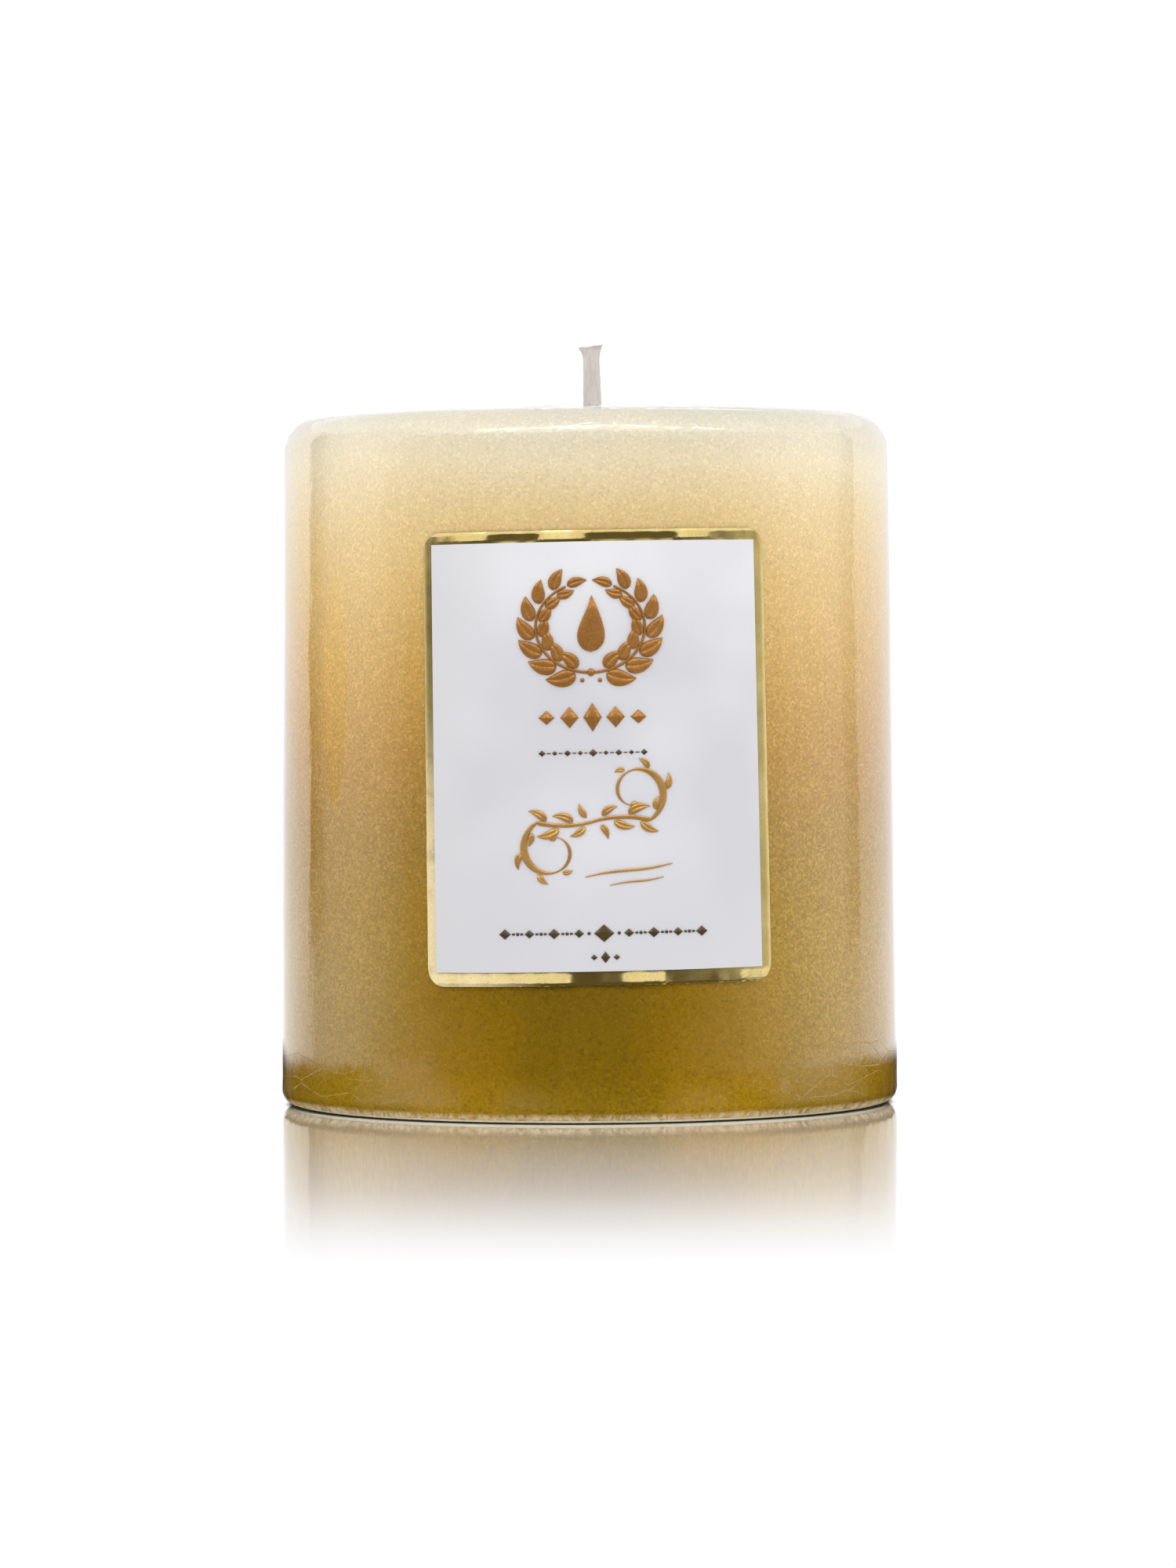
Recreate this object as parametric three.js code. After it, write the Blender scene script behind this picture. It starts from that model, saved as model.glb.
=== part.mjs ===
// Pillar candle of the kind set out as the centre (unity) candle at a wedding.
//
// A moulded wax pillar with a small draft and a rounded rim stands on a flat
// base. A thin metallic coat covers its side and top, and a braided wick runs
// from a stamped steel tab in the base up through the wax. A clear shrink film
// is drawn over the side, tucked over the rim and under the base edge. On the
// front is a label of gold foil stock with a white panel and foil ornaments;
// under the base is a small plain disc that covers the wick tab.
//
// Frame: millimetres, +Z up, origin on the candle's axis in the plane that it
// stands on, label facing -Y.

import * as THREE from 'three';

// ------------------------------------------------------------ dimensions, mm

const BODY_R_BASE = 35.0;      // film's outer radius just above the base edge
const BODY_R_TOP = 34.31;      // film's outer radius just below the rim
const BODY_H = 77.74;          // height of the wrapped pillar, without wick
const BASE_ROUND = 1.8;        // rounding of the base edge
const RIM_ROUND_R = 3.16;      // rim rounding, radially
const RIM_ROUND_Z = 3.62;      // rim rounding, vertically

const FILM_T = 0.10;           // shrink film
const COAT_T = 0.30;           // metallic coat
const LAYER_GAP = 0.05;        // between nested layers
const FILM_LIP_R_BASE = 24.0;  // opening left by the film under the base
const FILM_LIP_R_TOP = 23.5;   // opening left by the film on the top face
const COAT_END_DEG = 60;       // how far the coat goes round the base edge

const WICK_R = 1.05;           // braid's half width
const WICK_FLAT = 0.88;        // depth of the braid against its width
const WICK_TOP = 86.4;         // height of the cut end
const WICK_DRIFT = 0.85;       // how far the wick wanders to +X at the top
const WICK_CLEAR = 0.35;       // between wick and what it passes through
const WICK_BOTTOM = 0.45;

const TAB_R = 7.75;            // stamped steel wick tab
const TAB_T = 0.30;
const TAB_Z = 0.45;
const TAB_NECK_T = 0.45;
const TAB_NECK_TOP = 6.2;
const TAB_CLEAR = 0.45;        // pocket in the wax around the tab

const BASE_LABEL_R = 20.0;
const BASE_LABEL_Z0 = 0.03;
const BASE_LABEL_Z1 = 0.10;

const LABEL_W = 39.10;         // along the curve of the side
const LABEL_H = 49.30;
const LABEL_CORNER = 1.45;
const LABEL_MID_Z = 39.73;
const LABEL_SHIFT = 1.10;      // label's centre, along the curve towards +X
const LABEL_TILT_DEG = 0.70;   // top leans towards -X
const PANEL = { u0: -18.45, u1: 18.25, v0: -23.12, v1: 23.37 };

const SEG = 64;                // segments round the axis

// heights above the film's outer surface: [inner, outer]
const LAYER_FOIL_STOCK = [0.08, 0.18];
const LAYER_PANEL = [0.24, 0.34];
const LAYER_MARK = [0.40, 0.48];

// ----------------------------------------------------------------- materials

const mat = (color, roughness, metalness) =>
  new THREE.MeshStandardMaterial({ color, roughness, metalness });

const WAX = mat('#efe3c8', 0.55, 0.0);
const GOLD_COAT = mat('#c39b55', 0.5, 0.25);
const COTTON = mat('#d8cdc7', 0.75, 0.0);
const STEEL = mat('#a9adb0', 0.35, 0.9);
const FILM = new THREE.MeshStandardMaterial({
  color: '#f4f2ee', roughness: 0.12, metalness: 0.0, transparent: true, opacity: 0.2,
});
const GOLD_FOIL = mat('#c9ab63', 0.18, 0.95);
const PAPER = mat('#e3e3e6', 0.7, 0.0);
const BRONZE_FOIL = mat('#b07a3c', 0.4, 0.8);

// ------------------------------------------------------------------- helpers

const rad = (deg) => (deg * Math.PI) / 180;

// Signed volume of an indexed or plain triangle mesh.
function volumeOf(geometry) {
  const p = geometry.attributes.position;
  const idx = geometry.index ? geometry.index.array : null;
  const n = idx ? idx.length : p.count;
  const a = new THREE.Vector3();
  const b = new THREE.Vector3();
  const c = new THREE.Vector3();
  let v = 0;
  for (let i = 0; i < n; i += 3) {
    a.fromBufferAttribute(p, idx ? idx[i] : i);
    b.fromBufferAttribute(p, idx ? idx[i + 1] : i + 1);
    c.fromBufferAttribute(p, idx ? idx[i + 2] : i + 2);
    v += a.dot(b.cross(c));
  }
  return v / 6;
}

// Turns the faces round if they point inwards.
function facingOut(geometry) {
  if (volumeOf(geometry) > 0) return geometry;
  const idx = geometry.index.array;
  for (let i = 0; i < idx.length; i += 3) {
    const t = idx[i];
    idx[i] = idx[i + 1];
    idx[i + 1] = t;
  }
  geometry.computeVertexNormals();
  return geometry;
}

// Solid of revolution about +Z from [radius, height] points.
function revolve(points, segments = SEG) {
  const g = new THREE.LatheGeometry(
    points.map(([r, z]) => new THREE.Vector2(r, z)), segments);
  g.rotateX(Math.PI / 2);
  return facingOut(g);
}

function closed(points) {
  return [...points, points[0]];
}

// Moves the vertices near the axis sideways, growing with height, so that a
// bore follows the wick as it wanders.
function driftBore(geometry, reach) {
  const p = geometry.attributes.position;
  for (let i = 0; i < p.count; i += 1) {
    if (Math.hypot(p.getX(i), p.getY(i)) < reach) {
      p.setX(i, p.getX(i) + wickDrift(p.getZ(i)));
    }
  }
  return geometry;
}

const wickDrift = (z) => (WICK_DRIFT * Math.min(z, BODY_H)) / BODY_H;

// The pillar's outline, d millimetres inside the film's outer surface.
const baseCorner = (deg, d) => [
  BODY_R_BASE - BASE_ROUND + (BASE_ROUND - d) * Math.cos(rad(deg)),
  BASE_ROUND - (BASE_ROUND - d) * Math.sin(rad(deg)),
];
const rimCorner = (deg, d) => [
  BODY_R_TOP - RIM_ROUND_R + (RIM_ROUND_R - d) * Math.cos(rad(deg)),
  BODY_H - RIM_ROUND_Z + (RIM_ROUND_Z - d) * Math.sin(rad(deg)),
];
const BASE_STEPS = [90, 60, 30, 0];
const RIM_STEPS = [0, 18, 36, 54, 72, 90];

// Film radius at a height on the straight side.
function sideRadius(z) {
  const t = (z - BASE_ROUND) / (BODY_H - RIM_ROUND_Z - BASE_ROUND);
  return BODY_R_BASE + (BODY_R_TOP - BODY_R_BASE) * t;
}

// ------------------------------------------------------------ pillar and core

const D_COAT = FILM_T + LAYER_GAP;
const D_CORE = D_COAT + COAT_T + LAYER_GAP;
const CORE_Z = D_COAT;

const boreR = WICK_R + WICK_CLEAR;
const neckOuterR = boreR + TAB_NECK_T;
const pocketR = TAB_R + TAB_CLEAR;
const pocketTop = TAB_Z + TAB_T + TAB_CLEAR;
const neckPocketR = neckOuterR + TAB_CLEAR;
const neckPocketTop = TAB_NECK_TOP + TAB_CLEAR;

// Cast wax pillar: bored for the wick, with a pocket for the tab in its base.
function waxCore() {
  const pts = closed([
    [pocketR, CORE_Z],
    baseCorner(90, D_COAT),
    baseCorner(COAT_END_DEG + 6, D_COAT),
    baseCorner(COAT_END_DEG, D_CORE),
    baseCorner(30, D_CORE),
    baseCorner(0, D_CORE),
    ...RIM_STEPS.map((a) => rimCorner(a, D_CORE)),
    [boreR, BODY_H - D_CORE],
    [boreR, neckPocketTop],
    [neckPocketR, neckPocketTop],
    [neckPocketR, pocketTop],
    [pocketR, pocketTop],
  ]);
  return driftBore(revolve(pts), neckPocketR + 0.5);
}

// Metallic coat: side, rim and top face, open underneath.
function goldCoat() {
  const top = BODY_H - D_COAT;
  const under = top - COAT_T;
  const outer = [
    baseCorner(COAT_END_DEG, D_COAT), baseCorner(30, D_COAT), baseCorner(0, D_COAT),
    ...RIM_STEPS.map((a) => rimCorner(a, D_COAT)),
    [boreR, top],
  ];
  const inner = [
    [boreR, under],
    ...[...RIM_STEPS].reverse().map((a) => rimCorner(a, D_COAT + COAT_T)),
    baseCorner(0, D_COAT + COAT_T), baseCorner(30, D_COAT + COAT_T),
    baseCorner(COAT_END_DEG, D_COAT + COAT_T),
  ];
  return driftBore(revolve(closed([...outer, ...inner])), boreR + 0.5);
}

// Clear film: a sleeve shrunk over the rim and under the base edge, with a
// round opening at each end.
function shrinkFilm() {
  const outer = [
    [FILM_LIP_R_BASE, 0],
    ...BASE_STEPS.map((a) => baseCorner(a, 0)),
    ...RIM_STEPS.map((a) => rimCorner(a, 0)),
    [FILM_LIP_R_TOP, BODY_H],
  ];
  const inner = [
    [FILM_LIP_R_TOP, BODY_H - FILM_T],
    ...[...RIM_STEPS].reverse().map((a) => rimCorner(a, FILM_T)),
    ...[...BASE_STEPS].reverse().map((a) => baseCorner(a, FILM_T)),
    [FILM_LIP_R_BASE, FILM_T],
  ];
  return revolve(closed([...outer, ...inner]));
}

// ----------------------------------------------------------------- wick, tab

// Flat braid stiffened with wax. Its cut end flares and slants.
function wick() {
  const rows = [
    [0, WICK_BOTTOM], [WICK_R, WICK_BOTTOM], [WICK_R, 20], [WICK_R, 40], [WICK_R, 60],
    [WICK_R, 79.1], [0.95, 83.0], [0.93, 84.9], [1.08, 85.5], [1.43, WICK_TOP - 0.35],
    [1.43, WICK_TOP - 0.2], [0, WICK_TOP - 0.2],
  ];
  const g = revolve(rows, 16);
  const p = g.attributes.position;
  for (let i = 0; i < p.count; i += 1) {
    const x = p.getX(i);
    const z = p.getZ(i);
    p.setY(i, p.getY(i) * WICK_FLAT);
    if (z > WICK_TOP - 0.4) p.setZ(i, z + 0.14 * x);
    p.setX(i, x + wickDrift(z));
  }
  return g;
}

// Round steel tab with a crimped neck around the wick's lower end.
function wickTab() {
  return revolve(closed([
    [boreR, TAB_Z], [TAB_R, TAB_Z], [TAB_R, TAB_Z + TAB_T],
    [neckOuterR + 0.5, TAB_Z + TAB_T], [neckOuterR, TAB_Z + TAB_T + 0.5],
    [neckOuterR, TAB_NECK_TOP], [boreR, TAB_NECK_TOP],
  ]), 48);
}

function baseLabel() {
  return revolve([
    [0, BASE_LABEL_Z0], [BASE_LABEL_R, BASE_LABEL_Z0],
    [BASE_LABEL_R, BASE_LABEL_Z1], [0, BASE_LABEL_Z1],
  ], 48);
}

// --------------------------------------------------------- label and its marks

// Label coordinates: u along the curve of the side (+X side positive), v up,
// from the label's centre. h is the height above the film.
function onSide(u, v, h) {
  const t = rad(LABEL_TILT_DEG);
  const s = u * Math.cos(t) - v * Math.sin(t) + LABEL_SHIFT;
  const z = u * Math.sin(t) + v * Math.cos(t) + LABEL_MID_Z;
  const a = s / sideRadius(LABEL_MID_Z);
  const r = sideRadius(z) + h;
  return [r * Math.sin(a), -r * Math.cos(a), z];
}

// A closed thin body laid on the side: stations are rows of [u, v] points, all
// of one length; layer is [inner, outer] height above the film.
function sheetOnSide(stations, [h0, h1]) {
  const n = stations.length;
  const m = stations[0].length;
  const pos = [];
  for (const h of [h0, h1]) {
    for (const row of stations) {
      for (const [u, v] of row) pos.push(...onSide(u, v, h));
    }
  }
  const at = (side, i, j) => side * n * m + i * m + j;
  const idx = [];
  const quad = (a, b, c, d) => idx.push(a, b, c, a, c, d);
  for (let i = 0; i < n - 1; i += 1) {
    for (let j = 0; j < m - 1; j += 1) {
      quad(at(1, i, j), at(1, i, j + 1), at(1, i + 1, j + 1), at(1, i + 1, j));
      quad(at(0, i, j), at(0, i + 1, j), at(0, i + 1, j + 1), at(0, i, j + 1));
    }
    quad(at(0, i, 0), at(1, i, 0), at(1, i + 1, 0), at(0, i + 1, 0));
    quad(at(0, i, m - 1), at(0, i + 1, m - 1), at(1, i + 1, m - 1), at(1, i, m - 1));
  }
  for (let j = 0; j < m - 1; j += 1) {
    quad(at(0, 0, j), at(0, 0, j + 1), at(1, 0, j + 1), at(1, 0, j));
    quad(at(0, n - 1, j), at(1, n - 1, j), at(1, n - 1, j + 1), at(0, n - 1, j + 1));
  }
  const g = new THREE.BufferGeometry();
  g.setAttribute('position', new THREE.Float32BufferAttribute(pos, 3));
  g.setIndex(idx);
  g.computeVertexNormals();
  return facingOut(g);
}

// Rectangle with rounded corners, cut into rows and columns.
function plate(u0, u1, v0, v1, corner, layer, cols, rows) {
  const low = corner > 0
    ? [0, 30, 60, 90].map((a) => [v0 + corner * (1 - Math.cos(rad(a))), corner * (1 - Math.sin(rad(a)))])
    : [[v0, 0]];
  const high = low.map(([v, inset]) => [v0 + v1 - v, inset]).reverse();
  const mid = [];
  for (let i = 1; i < rows; i += 1) {
    mid.push([v0 + corner + ((v1 - v0 - 2 * corner) * i) / rows, 0]);
  }
  return sheetOnSide([...low, ...mid, ...high].map(([v, inset]) => {
    const a = u0 + inset;
    const b = u1 - inset;
    return Array.from({ length: cols + 1 }, (_, j) => [a + ((b - a) * j) / cols, v]);
  }), layer);
}

// Ribbon of varying width along a centre line: points are [u, v, half width].
function ribbon(points) {
  const n = points.length;
  const rows = points.map(([u, v, w], i) => {
    const [ua, va] = points[Math.max(0, i - 1)];
    const [ub, vb] = points[Math.min(n - 1, i + 1)];
    const len = Math.hypot(ub - ua, vb - va);
    const nu = -(vb - va) / len;
    const nv = (ub - ua) / len;
    return [[u - nu * w, v - nv * w], [u + nu * w, v + nv * w]];
  });
  return sheetOnSide(rows, LAYER_MARK);
}

const sample = (n, fn) => Array.from({ length: n + 1 }, (_, i) => fn(i / n));

// Laurel wreath, open at the top, its leaves in pairs along the stem.
const wreath = () => ribbon(sample(84, (t) => {
  const a = rad(112 + 316 * t);
  const lobes = Math.abs(Math.sin(Math.PI * 9 * t * 1.0));
  const taper = 0.35 + 0.65 * Math.sin(Math.PI * Math.min(1, Math.max(0, t))) ** 0.5;
  return [-0.6 + 6.3 * Math.cos(a), 14.1 + 5.3 * Math.sin(a), 0.16 + 1.05 * lobes * taper];
}));

// Candle flame at the middle of the wreath.
const flame = () => ribbon(sample(16, (t) => [
  -0.6, 11.8 + 5.2 * t, 0.06 + 1.35 * Math.sin(Math.PI * t ** 0.62) * (1 - 0.35 * t),
]));

// A hairline that swells into diamonds.
function diamonds(u0, u1, v, sizes, hair, n) {
  const count = sizes.length;
  return ribbon(sample(n, (t) => {
    const k = t * count;
    const i = Math.min(count - 1, Math.floor(k));
    const d = Math.abs((k - i) - 0.5) * 2;
    return [u0 + (u1 - u0) * t, v, Math.max(hair, sizes[i] * (1 - d * 1.25))];
  }));
}
const titleBand = () => diamonds(-6.7, 5.65, 4.35, [0.5, 0.9, 1.35, 0.9, 0.5], 0.12, 40);
const captionRule = () => diamonds(-6.7, 5.65, 0.5, [0.3, 0.3, 0.3, 0.3, 0.3, 0.3, 0.3], 0.08, 42);
const footerBand = () => diamonds(-11.7, 12.3, -19.0, [0.45, 0.45, 0.45, 0.45, 0.8, 0.45, 0.45, 0.45, 0.45], 0.14, 54);
const smallDiamond = () => diamonds(-1.4, 2.2, -21.6, [0.62], 0.06, 8);

// Pen flourish: two scrolls joined by a long stroke, leaning like italic script.
const SCROLL = { u: -0.6, v: -6.9, r: 3.4, cx: 5.2, cy: 1.7, lean: 16, turns: 330 };
const flourish = () => ribbon(sample(72, (t) => {
  const k = 2 * t - 1;
  const side = k < 0 ? -1 : 1;
  const m = Math.abs(k);
  const straight = 0.4;
  const start = rad(-78);
  const entry = [SCROLL.cx + SCROLL.r * Math.cos(start), SCROLL.cy + SCROLL.r * Math.sin(start)];
  let p;
  if (m < straight) {
    const q = m / straight;
    p = [entry[0] * q, entry[1] * q * q];
  } else {
    const q = (m - straight) / (1 - straight);
    const turn = start + rad(SCROLL.turns) * q;
    const r = SCROLL.r * (1 - 0.6 * q);
    p = [SCROLL.cx + r * Math.cos(turn), SCROLL.cy + r * Math.sin(turn)];
  }
  const c = Math.cos(rad(SCROLL.lean));
  const d = Math.sin(rad(SCROLL.lean));
  return [SCROLL.u + side * (c * p[0] - d * p[1]), SCROLL.v + side * (d * p[0] + c * p[1]),
    0.11 + 0.42 * Math.sin(Math.PI * t) ** 2];
}));

// Thin pen stroke under the flourish.
const swash = () => ribbon(sample(24, (t) => [
  -5.4 + 12.6 * t, -13.0 + 1.4 * t + 0.35 * Math.sin(2 * Math.PI * t), 0.07 + 0.14 * Math.sin(Math.PI * t),
]));

// ------------------------------------------------------------------- assembly

const group = new THREE.Group();
function add(name, geometry, material) {
  const mesh = new THREE.Mesh(geometry, material.clone());
  mesh.name = name;
  group.add(mesh);
}

add('wax_core', waxCore(), WAX);
add('gold_coat', goldCoat(), GOLD_COAT);
add('wick', wick(), COTTON);
add('wick_tab', wickTab(), STEEL);
add('shrink_film', shrinkFilm(), FILM);
add('base_label', baseLabel(), PAPER);
add('label_foil_stock', plate(-LABEL_W / 2, LABEL_W / 2, -LABEL_H / 2, LABEL_H / 2,
  LABEL_CORNER, LAYER_FOIL_STOCK, 14, 8), GOLD_FOIL);
add('label_panel', plate(PANEL.u0, PANEL.u1, PANEL.v0, PANEL.v1, 0, LAYER_PANEL, 14, 8), PAPER);
add('wreath_foil', wreath(), BRONZE_FOIL);
add('flame_foil', flame(), BRONZE_FOIL);
add('title_band_foil', titleBand(), BRONZE_FOIL);
add('caption_rule_foil', captionRule(), BRONZE_FOIL);
add('flourish_foil', flourish(), GOLD_FOIL);
add('swash_foil', swash(), GOLD_FOIL);
add('footer_band_foil', footerBand(), BRONZE_FOIL);
add('footer_diamond_foil', smallDiamond(), BRONZE_FOIL);

export default group;
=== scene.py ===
import math

import bmesh
import bpy
import numpy as np
from mathutils import Matrix, Vector


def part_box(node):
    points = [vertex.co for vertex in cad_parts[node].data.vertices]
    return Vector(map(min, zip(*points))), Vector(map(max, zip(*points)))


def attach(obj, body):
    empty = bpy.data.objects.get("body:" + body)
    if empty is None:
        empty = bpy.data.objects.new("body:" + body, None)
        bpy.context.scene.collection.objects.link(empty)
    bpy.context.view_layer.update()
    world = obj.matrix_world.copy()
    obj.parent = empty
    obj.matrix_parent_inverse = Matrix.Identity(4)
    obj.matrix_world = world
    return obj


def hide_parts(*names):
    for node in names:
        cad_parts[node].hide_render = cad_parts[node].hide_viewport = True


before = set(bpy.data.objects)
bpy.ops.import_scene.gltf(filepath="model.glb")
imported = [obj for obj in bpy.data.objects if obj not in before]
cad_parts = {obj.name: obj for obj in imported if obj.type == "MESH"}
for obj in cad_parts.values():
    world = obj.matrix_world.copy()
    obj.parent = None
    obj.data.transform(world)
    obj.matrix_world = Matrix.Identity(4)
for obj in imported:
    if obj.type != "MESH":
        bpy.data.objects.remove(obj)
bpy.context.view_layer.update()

# ---------------------------------------------------------------- camera
# Level camera a little below the candle's middle, at the photograph's angle.

cam_data = bpy.data.cameras.new("Camera")
cam_data.sensor_fit = "AUTO"
cam_data.sensor_width = 36.0
cam_data.lens = 131.108
cam_data.shift_x = 0.00035
cam_data.shift_y = -0.0639
cam_data.clip_start = 0.02
cam_data.clip_end = 20.0
cam = bpy.data.objects.new("Camera", cam_data)
bpy.context.scene.collection.objects.link(cam)
cam.matrix_world = (
    Matrix.Translation((0.0, -0.6519, 0.04769))
    @ Matrix.Rotation(math.pi / 2, 4, "X")
    @ Matrix.Rotation(-0.0056, 4, "Z")
)
bpy.context.scene.camera = cam

# ---------------------------------------------------------------- sizes, mm

MM = 0.001
film_lo, film_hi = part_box("shrink_film")
BODY_H = film_hi[2] / MM                       # 77.74
R_BASE = film_hi[0] / MM                       # 35.0
R_TOP = R_BASE - 0.69
BASE_ROUND = 1.8
RIM_R, RIM_Z = 3.16, 3.62
FILM_T, COAT_T, GAP = 0.10, 0.30, 0.05
D_COAT = FILM_T + GAP
D_CORE = D_COAT + COAT_T + GAP
BORE_R = 1.40
DRIFT = 0.85
MID_R = 34.6355                                # film radius at the label's middle

stock_lo, stock_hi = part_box("label_foil_stock")
LABEL_W, LABEL_H, LABEL_CORNER = 39.10, 49.30, 2.15
MID_Z = 39.73
SHIFT = 1.10
TILT = math.radians(0.70)
PANEL = (-18.45, 18.25, -23.12, 23.37)
H_STOCK = (0.08, 0.18)
H_PANEL = (0.24, 0.34)


def base_corner(deg, d):
    a = math.radians(deg)
    return (R_BASE - BASE_ROUND + (BASE_ROUND - d) * math.cos(a),
            BASE_ROUND - (BASE_ROUND - d) * math.sin(a))


def rim_corner(deg, d):
    a = math.radians(deg)
    return (R_TOP - RIM_R + (RIM_R - d) * math.cos(a),
            BODY_H - RIM_Z + (RIM_Z - d) * math.sin(a))


def side_radius(z):
    return R_BASE + (R_TOP - R_BASE) * (z - BASE_ROUND) / (BODY_H - RIM_Z - BASE_ROUND)


def on_side(u, v, h):
    """Label coordinates and height above the film to a point, in mm. Works on arrays."""
    s = u * math.cos(TILT) - v * math.sin(TILT) + SHIFT
    z = u * math.sin(TILT) + v * math.cos(TILT) + MID_Z
    a = s / MID_R
    r = side_radius(z) + h
    return r * np.sin(a), -r * np.cos(a), z


def step01(x, a, b):
    t = np.clip((x - a) / (b - a), 0.0, 1.0)
    return t * t * (3.0 - 2.0 * t)


def waves(theta, z, seed, count, k_lo, k_hi, m_hi, m_lo=0.0):
    """Smooth noise, periodic round the axis."""
    rng = np.random.default_rng(seed)
    out = np.zeros_like(theta + z)
    for _ in range(count):
        k = int(rng.integers(k_lo, k_hi + 1))
        m = rng.uniform(m_lo, m_hi) * rng.choice([-1.0, 1.0])
        out = out + np.sin(k * theta + m * z + rng.uniform(0, 2 * math.pi))
    return out / math.sqrt(count)


# ---------------------------------------------------------------- mesh helpers

def finish_mesh(name, verts_mm, faces, sharp=35.0, weld=False):
    mesh = bpy.data.meshes.new(name)
    mesh.from_pydata([tuple(float(c) * MM for c in p) for p in verts_mm], [],
                     [tuple(int(i) for i in f) for f in faces])
    bm = bmesh.new()
    bm.from_mesh(mesh)
    if weld:
        bmesh.ops.remove_doubles(bm, verts=bm.verts, dist=2e-7)
    bmesh.ops.recalc_face_normals(bm, faces=bm.faces)
    bm.to_mesh(mesh)
    bm.free()
    mesh.shade_smooth()
    mesh.set_sharp_from_angle(angle=math.radians(sharp))
    obj = bpy.data.objects.new(name, mesh)
    bpy.context.scene.collection.objects.link(obj)
    return obj


def revolve(name, loop, seg, move=None, sharp=35.0, weld=False):
    """Closed outline of (radius, height) in mm turned round +Z; move(r, z, theta, row) returns x, y, z."""
    r = np.array([p[0] for p in loop])[:, None] * np.ones((1, seg))
    z = np.array([p[1] for p in loop])[:, None] * np.ones((1, seg))
    theta = (np.arange(seg) * 2 * math.pi / seg)[None, :] * np.ones((len(loop), 1))
    if move:
        x, y, z = move(r, z, theta)
    else:
        x, y = r * np.sin(theta), -r * np.cos(theta)
    verts = np.stack([x, y, z], axis=-1).reshape(-1, 3)
    n = len(loop)
    faces = []
    for i in range(n):
        a, b = i * seg, ((i + 1) % n) * seg
        for j in range(seg):
            k = (j + 1) % seg
            faces.append((a + j, a + k, b + k, b + j))
    return finish_mesh(name, verts, faces, sharp, weld)


def slab(name, u, v, low, high, sharp=35.0):
    """A thin solid on the side of the candle from grids of u, v and of the heights of its two faces."""
    n, m = u.shape
    top = np.stack(on_side(u, v, high), axis=-1).reshape(-1, 3)
    bottom = np.stack(on_side(u, v, low), axis=-1).reshape(-1, 3)
    verts = np.concatenate([top, bottom])
    off = n * m
    faces = []
    for i in range(n - 1):
        for j in range(m - 1):
            a, b, c, d = i * m + j, i * m + j + 1, (i + 1) * m + j + 1, (i + 1) * m + j
            faces.append((a, b, c, d))
            faces.append((off + a, off + d, off + c, off + b))
    rim = ([j for j in range(m)] + [i * m + m - 1 for i in range(1, n)]
           + [(n - 1) * m + j for j in range(m - 2, -1, -1)] + [i * m for i in range(n - 2, 0, -1)])
    for p, q in zip(rim, rim[1:] + rim[:1]):
        faces.append((p, off + p, off + q, q))
    return finish_mesh(name, verts, faces, sharp)


ACROSS = np.array([-1.0, -0.95, -0.84, -0.6, -0.3, 0.0, 0.3, 0.6, 0.84, 0.95, 1.0])
DOME = np.array([0.0, 0.42, 0.74, 0.93, 0.99, 1.0, 0.99, 0.93, 0.74, 0.42, 0.0])
VEIN = np.array([0.0, 0.42, 0.76, 0.97, 0.97, 0.72, 0.97, 0.97, 0.76, 0.42, 0.0])
ROOF = np.array([0.0, 0.26, 0.38, 0.60, 0.82, 1.0, 0.82, 0.60, 0.38, 0.26, 0.0])
MARK_LOW = 0.36


def ribbon_part(points, profile=DOME, lift=0.26, edge=0.05):
    """Raised stroke along a centre line of (u, v, half width): vertices and faces of one closed solid."""
    pts = np.array(points, dtype=float)
    n = len(pts)
    tangent = np.gradient(pts[:, :2], axis=0)
    tangent /= np.maximum(np.linalg.norm(tangent, axis=1, keepdims=True), 1e-9)
    normal = np.stack([-tangent[:, 1], tangent[:, 0]], axis=-1)
    w = np.maximum(pts[:, 2], 0.02)
    rise = np.minimum(lift, 0.62 * w)
    m = len(ACROSS)
    verts, faces = [], []
    for i in range(n):
        off = ACROSS * w[i]
        u = pts[i, 0] + normal[i, 0] * off
        v = pts[i, 1] + normal[i, 1] * off
        h = MARK_LOW + edge + profile * rise[i]
        x, y, z = on_side(u, v, h)
        verts += list(zip(x, y, z))
        x, y, z = on_side(u[::-5], v[::-5], np.full(3, MARK_LOW))
        verts += list(zip(x, y, z))
    k = m + 3
    for i in range(n - 1):
        for j in range(k):
            l = (j + 1) % k
            faces.append((i * k + j, i * k + l, (i + 1) * k + l, (i + 1) * k + j))
    for i in (0, n - 1):
        base = i * k
        centre = len(verts)
        x, y, z = on_side(np.array([pts[i, 0]]), np.array([pts[i, 1]]), np.array([MARK_LOW + edge * 0.5]))
        verts.append((x[0], y[0], z[0]))
        for j in range(k):
            faces.append((base + j, base + (j + 1) % k, centre))
    return verts, faces


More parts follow.
